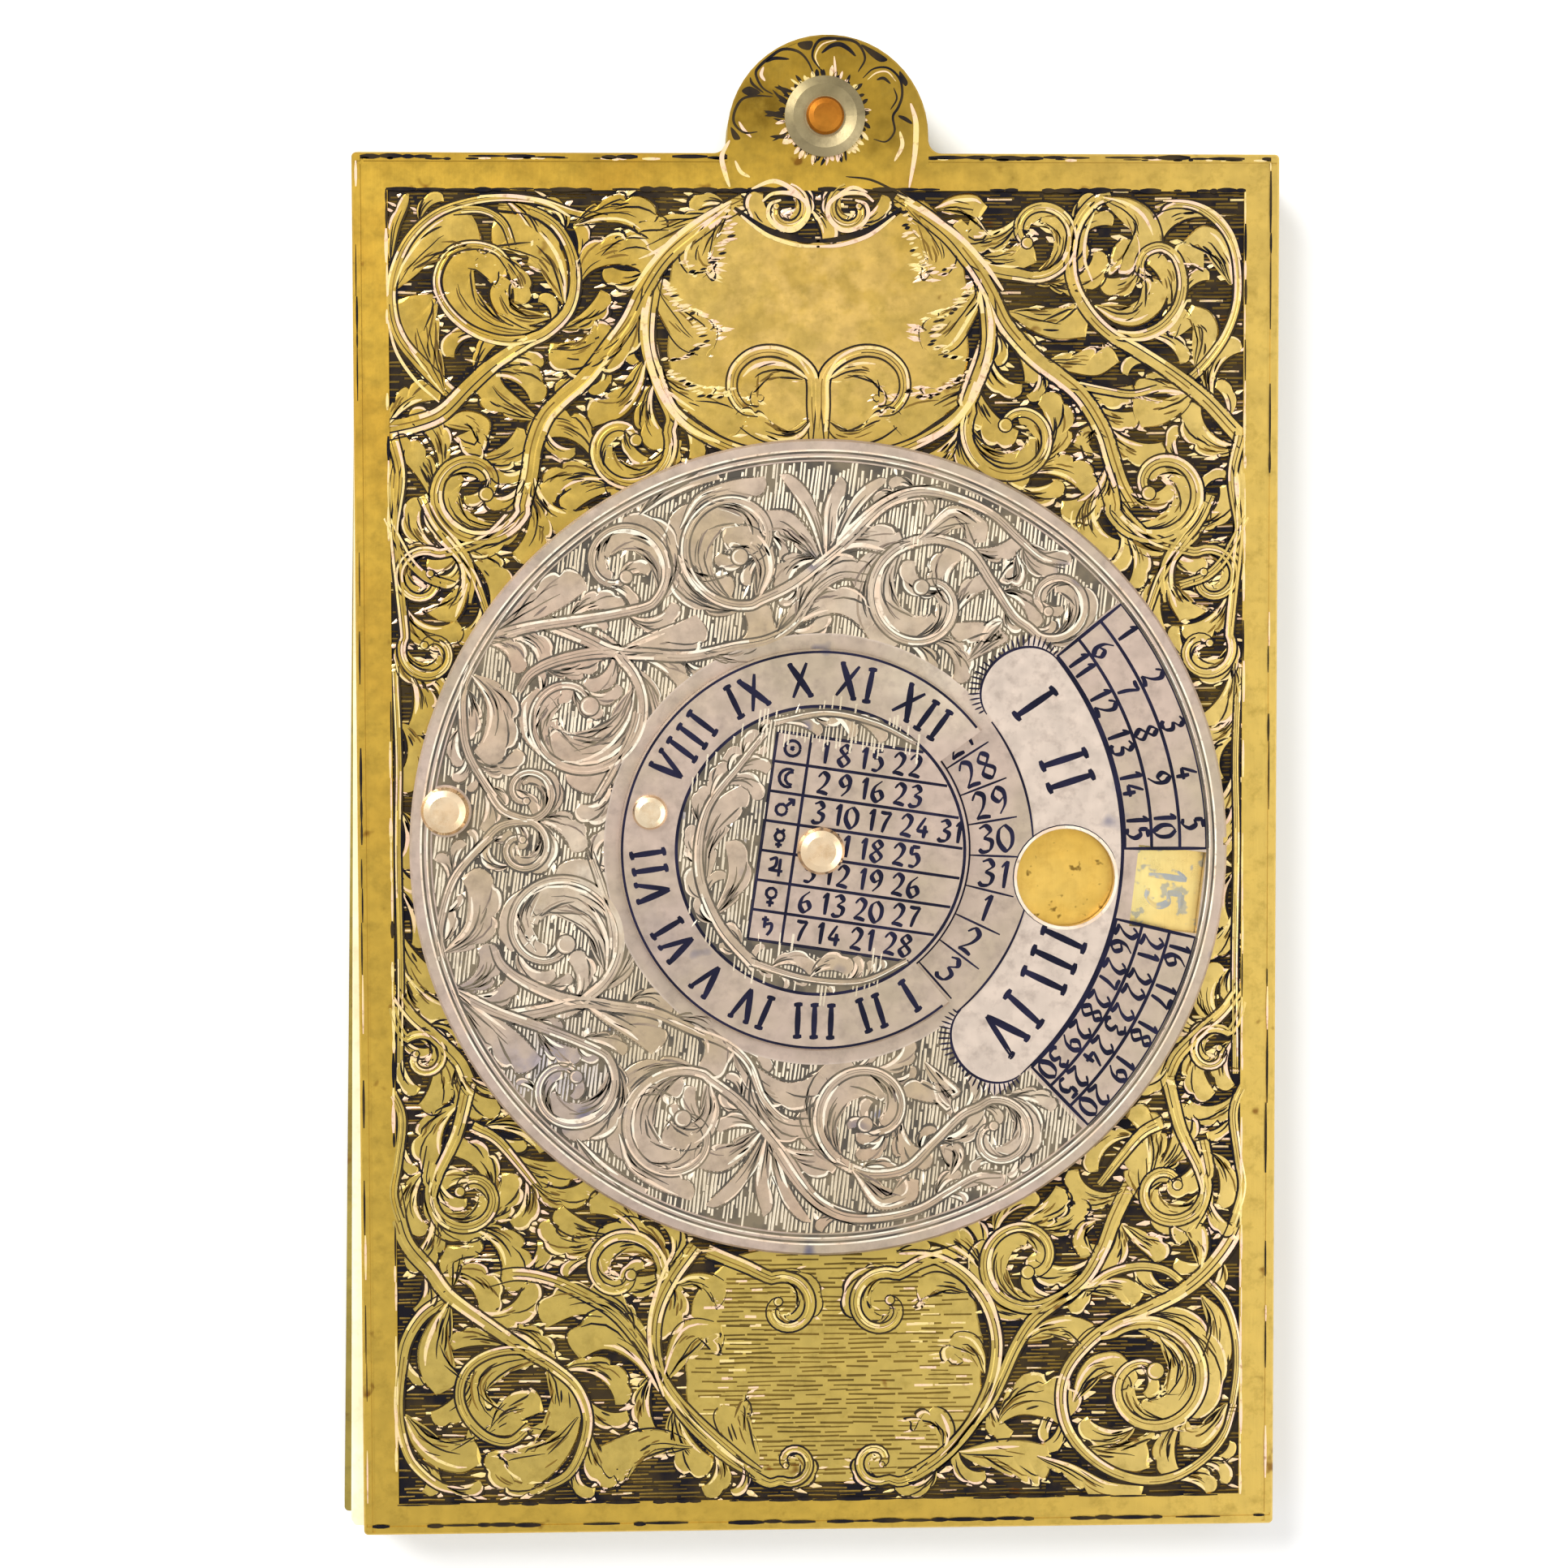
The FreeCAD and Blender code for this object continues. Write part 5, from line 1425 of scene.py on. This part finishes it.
dial_figures = Piece()
DAYS = 31
DAY_CELL = 360 / DAYS
LAST_DAY_END = -14.0
DAY_RADII = (9.8, 11.45, 13.0)
for day in range(1, DAYS + 1):
    bearing = LAST_DAY_END - (day - 0.5) * DAY_CELL
    written(dial_figures, str(day), polar(DAY_RADII[1], bearing), bearing, *DAY_FIGURES, DIAL_TOP)
    radial(dial_figures, bearing - DAY_CELL / 2, DAY_RADII[0], DAY_RADII[2], 0.15, DIAL_TOP)
ring_line(dial_figures, DAY_RADII[0] - 0.05, 0, 360, 0.12, DIAL_TOP, DARK, 1.0)
WINDOW_REACH = 9.2
window_bearing = ROUND_WINDOW[2]
for start, end in ((36.5, window_bearing + WINDOW_REACH), (window_bearing - WINDOW_REACH, -50.0)):
    ring_line(dial_figures, NUMBER_RADIUS, start, end, 0.16, DIAL_TOP, DARK, 0.6)

# The band of three rows, in two parts beside the square window
BAND_ROWS = (24.4, 22.55, 20.75)
ROW_LINES = (25.3, 23.5, 21.65, 19.85)
ROW_COUNT = 5
number = 0
for start, end in ((BAND_ENDS[0], SQUARE_WINDOW[0]), (SQUARE_WINDOW[1], BAND_ENDS[1])):
    for radius, width in zip(ROW_LINES, (0.3, 0.22, 0.22, 0.32)):
        ring_line(dial_figures, radius, start, end, width, DIAL_TOP, DARK, 0.9)
    for bearing in (start, end):
        radial(dial_figures, bearing, ROW_LINES[-1], ROW_LINES[0], 0.24, DIAL_TOP)
    for radius in BAND_ROWS:
        for place in range(ROW_COUNT):
            number += 1
            bearing = start + (end - start) * (place + 0.5) / ROW_COUNT
            written_round(dial_figures, str(number), radius, bearing, *BAND_FIGURES, DIAL_TOP)
window_middle = polar(*ROUND_WINDOW[::2])
ribbon(dial_figures, ring_arc(ROUND_WINDOW[1] + 0.12, 0, 360, window_middle), 0.2, DIAL_TOP, BRIGHT, 1.0)
ribbon(dial_figures, ring_arc(ROUND_WINDOW[1] + 0.24, 20, 250, window_middle), 0.08, DIAL_TOP, DARK)

# The crescent with its two pairs of large figures and its domed ends, each with short cuts round it
for text, bearing in (("I", 34.0), ("II", 17.5), ("III", -25.5), ("IV", -42.5)):
    written_round(dial_figures, text, CRESCENT_MIDDLE, bearing, *CRESCENT_FIGURES, DIAL_TOP)
ring_line(dial_figures, CRESCENT_RADIUS - 0.05, DOME_ENDS[0][0], DOME_ENDS[1][0], 0.22, DIAL_TOP, DARK, 0.3)
DOME_TICKS = 26
for bearing, way in DOME_ENDS:
    outwards = polar(1.0, bearing)
    onwards = polar(1.0, bearing + 90 * way)
    turn = np.radians(np.arange(0, 360, 8.0))[:, None]
    reach = np.where(np.cos(turn) > 0, DOME[2], 0.5) * np.cos(turn)
    around = polar(DOME[0], bearing) + outwards * DOME[1] * np.sin(turn) + onwards * reach
    dial_figures.fan(around, DIAL_TOP + 0.003, METAL, DIAL_FLOOR)
    turn = np.radians(np.linspace(-88, 88, 40))[:, None]
    edge = polar(DOME[0], bearing) + outwards * DOME[1] * np.sin(turn) + onwards * DOME[2] * np.cos(turn)
    ribbon(dial_figures, edge, 0.17, DIAL_TOP + 0.004, DARK, 0.4)
    for tick in range(DOME_TICKS):
        aim = math.radians(-84 + 168 * (tick + 0.5) / DOME_TICKS)
        s, c = math.sin(aim), math.cos(aim)
        spot = polar(DOME[0], bearing) + outwards * DOME[1] * s + onwards * DOME[2] * c
        tip = spot + (outwards * s + onwards * c) * (0.25 + 0.6 * abs(math.sin(2 * aim)))
        straight(dial_figures, spot, tip, 0.12, DIAL_TOP + 0.004, DARK, 0.2)
dial_figures.made("moon_dial_figures", "moon_dial", figure_paints, "dial_silver")


# The small dial

small_ground = Ground((-10, -10), (10, 10), in_table_ground)
small_foliage = Piece()
foliage(small_foliage, small_foliage, small_ground, stems_of((), TABLE_STEMS), leaves_of(TABLE_LEAVES),
        TABLE_TOP + 0.002, TABLE_TOP + 0.022, rng, (2.6, 1.8, 1.2), flecks=0.1, drift=(0.1, 1.0),
        lobe_length=0.8)
small_foliage.made("weekday_dial_foliage", "weekday_dial", silver_paints, "dial_silver")
hatched("weekday_dial_hatch", "weekday_dial", hatch_silver, (0, 0), (19, 19), 0.25, 1.5,
        (0.14, 0.012), TABLE_TOP + 0.004, in_table_ground, 0.0, 13, SILVER_HATCH_TURN)


def table_reach(bearing):
    """How far a line from the pivot runs before it leaves the weekday table."""
    along = polar(1.0, bearing) @ ALONG
    down = polar(1.0, bearing) @ DOWN
    left_room = -TABLE_CORNER @ ALONG
    top_room = -TABLE_CORNER @ DOWN
    rooms = [GROUND_EDGE]
    if along < 0:
        rooms.append(-left_room / along)
    if down < 0:
        rooms.append(-top_room / down)
    if down > 0:
        rooms.append((ROWS * ROW_HEIGHT - top_room) / down)
    return min(rooms)


bearings = np.linspace(0, 360, 241)
inner = np.array([table_reach(bearing) for bearing in bearings])[:, None]
small_sheet = Piece()
flat_ring(small_sheet, units(np.radians(bearings)), inner, GROUND_EDGE, TABLE_TOP + 0.003)
small_sheet.made("weekday_dial_ground", "weekday_dial", (wax_silver,), "dial_silver")

small_figures = Piece()
ring_line(small_figures, 9.35, 0, 360, 0.2, TABLE_TOP, DARK, 1.0)
ring_line(small_figures, 12.85, 38, 308, 0.16, TABLE_TOP, DARK, 1.0)


def round_words(texts, start, end):
    """Numerals spread clockwise between two bearings, each with room for its own width."""
    wide = [math.degrees(figure_width(text) * RING_FIGURES[0] / NAME_RADIUS) for text in texts]
    gap = (start - end - sum(wide)) / len(texts)
    bearing = start
    for text, width in zip(texts, wide):
        middle = bearing - (gap + width) / 2
        written_round(small_figures, text, NAME_RADIUS, middle, *RING_FIGURES, TABLE_TOP)
        bearing -= gap + width


round_words(("I", "II", "III", "IV", "V", "VI", "VII"), 307, 175)
round_words(("VIII", "IX", "X", "XI", "XII"), 159, 40)


def table_spot(along, down):
    return TABLE_CORNER + ALONG * along + DOWN * down


def row_end(down):
    """How far a row line runs before it meets the ring."""
    start = table_spot(0, down)
    forward = float(np.dot(start, ALONG))
    return -forward + math.sqrt(max(forward**2 - float(np.dot(start, start)) + 9.2**2, 0))


TABLE_HEIGHT = ROWS * ROW_HEIGHT
for row in range(ROWS + 1):
    down = row * ROW_HEIGHT
    straight(small_figures, table_spot(0, down), table_spot(row_end(down), down), 0.2, TABLE_TOP, DARK, 0.9)
for along in (0, SIGN_WIDTH):
    straight(small_figures, table_spot(along, 0), table_spot(along, TABLE_HEIGHT), 0.2, TABLE_TOP, DARK, 0.9)
for row in range(ROWS):
    down = (row + 0.5) * ROW_HEIGHT
    along = SIGN_WIDTH + 0.75
    for day in range(row + 1, DAYS + 1, ROWS):
        half = figure_width(str(day)) * DATE_FIGURES[0] / 2
        spot = table_spot(along + half, down)
        if math.hypot(*spot) + half < GROUND_EDGE:
            written(small_figures, str(day), spot, ROW_LEAN, *DATE_FIGURES, TABLE_TOP)
        along += 2 * half + 0.6


def loop(radius, start=0.0, end=360.0, x=0.0, y=0.0):
    return ring_arc(radius, start, end, (x, y), 0.15)


def bar(*ends):
    return resampled(np.array(ends, float), 5)


# The old signs of the seven days
SUN = (loop(0.36), loop(0.06))
MOON = (loop(0.42, 60, 300), loop(0.3, 80, 280, 0.16))
MARS = (loop(0.26, 0, 360, -0.1, -0.1), bar((0.08, 0.08), (0.42, 0.42)),
        bar((0.14, 0.42), (0.42, 0.42), (0.42, 0.14)))
MERCURY = (loop(0.22, 0, 360, 0, 0.04), bar((0, -0.18), (0, -0.5)), bar((-0.16, -0.34), (0.16, -0.34)),
           loop(0.18, 190, 350, 0, 0.44))
JUPITER = (smooth(((-0.3, 0.3), (0.0, 0.42), (0.0, 0.05), (-0.3, -0.16))), bar((-0.3, -0.16), (0.36, -0.16)),
           bar((0.2, 0.42), (0.2, -0.42)))
VENUS = (loop(0.24, 0, 360, 0, 0.16), bar((0, -0.08), (0, -0.48)), bar((-0.18, -0.28), (0.18, -0.28)))
SATURN = (bar((-0.1, 0.46), (-0.1, -0.1)), bar((-0.26, 0.3), (0.08, 0.3)),
          smooth(((-0.1, 0.06), (0.2, 0.14), (0.22, -0.14), (0.06, -0.42))))
for row, sign in enumerate((SUN, MOON, MARS, MERCURY, JUPITER, VENUS, SATURN)):
    middle = table_spot(SIGN_WIDTH / 2, (row + 0.5) * ROW_HEIGHT)
    for line in sign:
        local = np.asarray(line, float) * SIGN_HEIGHT
        path = middle + local[:, :1] * ALONG - local[:, 1:] * DOWN
        stroke(small_figures, path, 0.22, TABLE_TOP, DARK, 0.8)
small_figures.made("weekday_dial_figures", "weekday_dial", figure_paints, "dial_silver")


# Under the moon dial: the gilded rings that its windows show, and the age of the moon

under_windows = Piece()
GILDED_RINGS = ((12.6, 20.1, METAL), (20.2, 25.7, DARK))
for inner, outer, paint in GILDED_RINGS:
    flat_ring(under_windows, ring_arc(1.0, 0, 360, spacing=0.05), inner, outer, AGE_LEVEL, paint)
MONTH = 29.5
AGE_AT_WINDOW = 15
for age in range(1, 30):
    bearing = window_bearing - (age - AGE_AT_WINDOW) * 360 / MONTH
    written_round(under_windows, str(age), AGE_RADIUS, bearing, *AGE_FIGURES, AGE_LEVEL, BRIGHT)
under_windows.made("age_of_the_moon", "front", (gilt, worn_gilt, worn_silver), "engraved_brass")


# The lug: a petal and leaves cut round the washer. Each line has its points, its width and its paint
LUG_LINES = (
    (((0.2, 50.3), (-0.35, 51.2), (0.1, 52.2), (1.3, 52.45), (2.5, 52.1), (3.05, 51.1), (2.6, 50.2)),
     0.2, DARK),
    (((0.1, 50.5), (-0.15, 51.2), (0.3, 51.95), (1.3, 52.25)), 0.1, BRIGHT),
    (((0.25, 51.4), (0.85, 51.85), (1.45, 51.95), (2.0, 51.65), (2.45, 51.2)), 0.3, DARK),
    (((1.15, 49.8), (1.12, 50.4), (1.06, 51.2)), 0.16, BRIGHT),
    (((-0.2, 49.9), (-0.66, 50.9), (-1.3, 51.5), (-2.3, 51.65), (-3.3, 51.3), (-3.85, 50.7), (-4.0, 50.05),
      (-3.6, 49.2), (-2.9, 48.75)), 0.2, DARK),
    (((-3.36, 50.8), (-2.77, 51.05), (-1.84, 51.0)), 0.22, DARK),
    (((-3.5, 50.5), (-3.65, 50.0), (-3.4, 49.6)), 0.22, BRIGHT),
    (((-4.6, 50.0), (-4.2, 49.4), (-3.5, 48.85)), 0.18, DARK),
    (((-2.9, 48.6), (-3.95, 48.65), (-4.85, 48.45), (-5.35, 47.7), (-5.4, 46.9), (-4.75, 46.3),
      (-3.9, 46.35)), 0.18, DARK),
    (((-5.1, 47.0), (-4.8, 46.5), (-4.3, 46.0)), 0.2, BRIGHT),
    (((2.9, 49.8), (3.6, 50.4), (4.55, 50.45), (5.3, 49.75), (5.45, 48.75), (5.2, 47.95), (4.85, 47.35),
      (4.95, 46.4), (4.4, 45.75), (3.6, 45.9)), 0.17, DARK),
    (((3.2, 49.7), (3.8, 50.15), (4.5, 50.2), (5.05, 49.6)), 0.1, BRIGHT),
    (((3.8, 49.7), (4.25, 49.8), (4.7, 49.45)), 0.2, DARK),
    (((4.9, 49.2), (5.1, 48.5), (4.7, 47.8)), 0.12, DARK),
    (((6.0, 48.2), (6.3, 47.2), (6.35, 46.3), (6.25, 44.8), (5.9, 42.8)), 0.36, BRIGHT),
    (((5.3, 46.4), (5.45, 45.5), (4.95, 44.5)), 0.26, BRIGHT),
    (((5.2, 47.4), (5.65, 47.2), (6.1, 46.9)), 0.26, DARK),
    (((-5.7, 45.8), (-6.2, 44.8), (-6.0, 43.7), (-5.7, 42.8)), 0.32, BRIGHT),
    (((-5.35, 44.5), (-5.0, 43.8), (-4.4, 43.45)), 0.24, BRIGHT),
    (((-4.3, 42.7), (-2.9, 43.2), (-1.75, 42.75), (-1.1, 42.2)), 0.3, BRIGHT),
    (((1.3, 42.35), (2.25, 42.8), (3.2, 42.5)), 0.24, BRIGHT),
    (((1.8, 43.5), (3.4, 43.3), (4.85, 42.65), (5.8, 42.2)), 0.16, DARK),
)
LUG_BLOTS = (
    ((-1.3, 52.15), (-0.35, 52.15), (-0.5, 51.6), (-1.1, 51.7)),
    ((2.8, 52.0), (3.8, 51.6), (4.5, 51.0), (4.0, 50.85), (3.3, 51.35)),
    ((-5.0, 49.0), (-4.4, 49.25), (-3.7, 48.85), (-4.4, 48.65)),
    ((-5.75, 46.3), (-5.6, 46.65), (-5.0, 45.95), (-5.4, 45.85)),
    ((-2.5, 52.05), (-1.4, 52.3), (-1.7, 51.95)),
    ((5.35, 50.3), (5.8, 49.6), (5.65, 49.3), (5.3, 49.8)),
)


def kept_on_lug(points):
    """The points, drawn in to the lug where they would pass its round edge."""
    away = np.asarray(points, float) - LUG_CENTRE
    reach = np.hypot(*away.T)
    share = np.where(away[:, 1] > 0, np.minimum(1.0, (LUG_RADIUS - 0.25) / np.maximum(reach, 0.1)), 1.0)
    return np.asarray(LUG_CENTRE) + away * share[:, None]


lug_cuts = Piece()
for points, width, paint in LUG_LINES:
    ribbon(lug_cuts, smooth(kept_on_lug(points), 6), width, PLATE_TOP, paint)
for points in LUG_BLOTS:
    blot(lug_cuts, kept_on_lug(points), PLATE_TOP + 0.004)
FLECKS_ROUND_WASHER = 84
for number in range(FLECKS_ROUND_WASHER):
    bearing = 360 * (number + rng.random()) / FLECKS_ROUND_WASHER
    left_side = 140 < bearing < 215
    low_side = 195 < bearing < 330
    paint = DARK if rng.random() < (0.75 if left_side else 0.4) else BRIGHT
    if paint == BRIGHT and not low_side and rng.random() < 0.4:
        continue
    length = rng.uniform(0.5, 1.5) if paint == DARK and left_side else rng.uniform(0.25, 0.8)
    start = np.array(RIVET) + polar(WASHER_RADIUS - 0.1, bearing)
    end = start + polar(length, bearing + rng.uniform(-35, 25))
    straight(lug_cuts, start, end, rng.uniform(0.12, 0.3), PLATE_TOP + 0.002, paint, 0.1)
lug_cuts.made("lug_cuts", "front", brass_paints, "engraved_brass")


# The lines of the plate: its border and the edge of the engraved field

plate_lines = Piece()


def worn_line(a, b, width, runs, paints):
    """A cut whose width and filling change along its run."""
    a, b = np.array(a, float), np.array(b, float)
    whole = np.hypot(*(b - a))
    aside = np.array([a[1] - b[1], b[0] - a[0]]) / whole
    along = 0.0
    while along < 1:
        far = min(1.0, along + rng.uniform(*runs) / whole)
        shift = aside * rng.uniform(-0.04, 0.04)
        spots = resampled(np.array([a + (b - a) * along + shift, a + (b - a) * far + shift]), 4)
        paint = rng.choice(paints)
        if paint != METAL:
            ribbon(plate_lines, spots, width * rng.uniform(0.5, 1.3), PLATE_TOP - 0.004, paint, 0.5)
        along = far


side = PLATE_HALF[0] - BORDER_INSET
end = PLATE_HALF[1] - BORDER_INSET
LUG_SIDES = (LUG_CENTRE[0] - LUG_RADIUS, LUG_CENTRE[0] + LUG_RADIUS)
DARK_BROKEN = (DARK, DARK, DARK, DARK, DARK, METAL)
THIN_BROKEN = (METAL, METAL, DARK, DARK, BRIGHT)
MOSTLY_BRIGHT = (BRIGHT, BRIGHT, BRIGHT, METAL, DARK)
worn_line((-side, -end), (side, -end), 0.26, (0.6, 3.0), DARK_BROKEN)
worn_line((-side - 0.3, -end), (-side - 0.3, end), 0.14, (0.8, 4.0), THIN_BROKEN)
worn_line((side, -end), (side, end), 0.13, (1.0, 5.0), THIN_BROKEN)
for start, stop in ((-side, LUG_SIDES[0]), (LUG_SIDES[1], side)):
    worn_line((start, end + 0.28), (stop, end + 0.28), 0.28, (0.5, 2.5), DARK_BROKEN)
    worn_line((start, end + 0.16), (stop, end + 0.16), 0.16, (0.3, 1.2), THIN_BROKEN)
left, bottom = FIELD_LOW[0] - 0.1, FIELD_LOW[1] - 0.05
right, top = FIELD_HIGH[0] + 0.1, FIELD_HIGH[1] + 0.05
worn_line((left, bottom), (left, top), 0.2, (0.8, 3.0), MOSTLY_BRIGHT)
worn_line((right, bottom), (right, top), 0.16, (0.8, 3.0), MOSTLY_BRIGHT)
worn_line((left, bottom), (right, bottom), 0.22, (0.6, 2.5), DARK_BROKEN)
worn_line((left, top), (right, top), 0.3, (0.5, 2.0), DARK_BROKEN)
plate_lines.made("plate_lines", "front", brass_paints, "engraved_brass")


# Floor, camera and light
FLOOR_SIZE = 3.0
floor_mesh = bpy.data.meshes.new("floor")
floor_corners = [(FLOOR_SIZE * x, FLOOR_SIZE * y, 0) for x, y in ((-1, -1), (1, -1), (1, 1), (-1, 1))]
floor_mesh.from_pydata(floor_corners, [], [(0, 1, 2, 3)])
floor = bpy.data.objects.new("floor", floor_mesh)
bpy.context.scene.collection.objects.link(floor)
floor.location = (0, 0, -0.0005)
FLOOR_TONES = ((0.93, 0.93, 0.93, 1), (0.95, 0.95, 0.95, 1))
floor_paint = Mix("Pale floor", FLOOR_TONES[0], 0.0, 0.9)
floor_paint.into("Base Color", floor_paint.blended(floor_paint.noise(0.002, 2.0), *FLOOR_TONES))
floor_mesh.materials.append(floor_paint.material)

CAMERA_PLACE = (-11.0, 15.85, 224.4)
CAMERA_TURN = (-3.022, -2.279, -0.15)
camera_data = bpy.data.cameras.new("camera")
camera_data.lens = 77.48
camera_data.sensor_width = 36
camera = bpy.data.objects.new("camera", camera_data)
camera.location = [value * MM for value in CAMERA_PLACE]
camera.rotation_euler = Euler([math.radians(turn) for turn in CAMERA_TURN])
bpy.context.scene.collection.objects.link(camera)
bpy.context.scene.camera = camera


def area_lamp(name, place, size, power, aim=(0, 0, 0)):
    data = bpy.data.lights.new(name, "AREA")
    data.shape = "DISK"
    data.size = size
    data.energy = power
    lamp = bpy.data.objects.new(name, data)
    lamp.location = place
    lamp.rotation_euler = (Vector(aim) - Vector(place)).to_track_quat("-Z", "Y").to_euler()
    bpy.context.scene.collection.objects.link(lamp)


area_lamp("key lamp", (-0.5, 0.55, 0.75), 0.55, 9.0)
area_lamp("fill lamp", (0.7, -0.2, 0.8), 0.9, 3.0)

world = bpy.data.worlds.new("studio")
bpy.context.scene.world = world
world.use_nodes = True
world.node_tree.nodes["Background"].inputs["Color"].default_value = (1, 1, 1, 1)
world.node_tree.nodes["Background"].inputs["Strength"].default_value = 0.75
bpy.context.scene.view_settings.view_transform = "Standard"
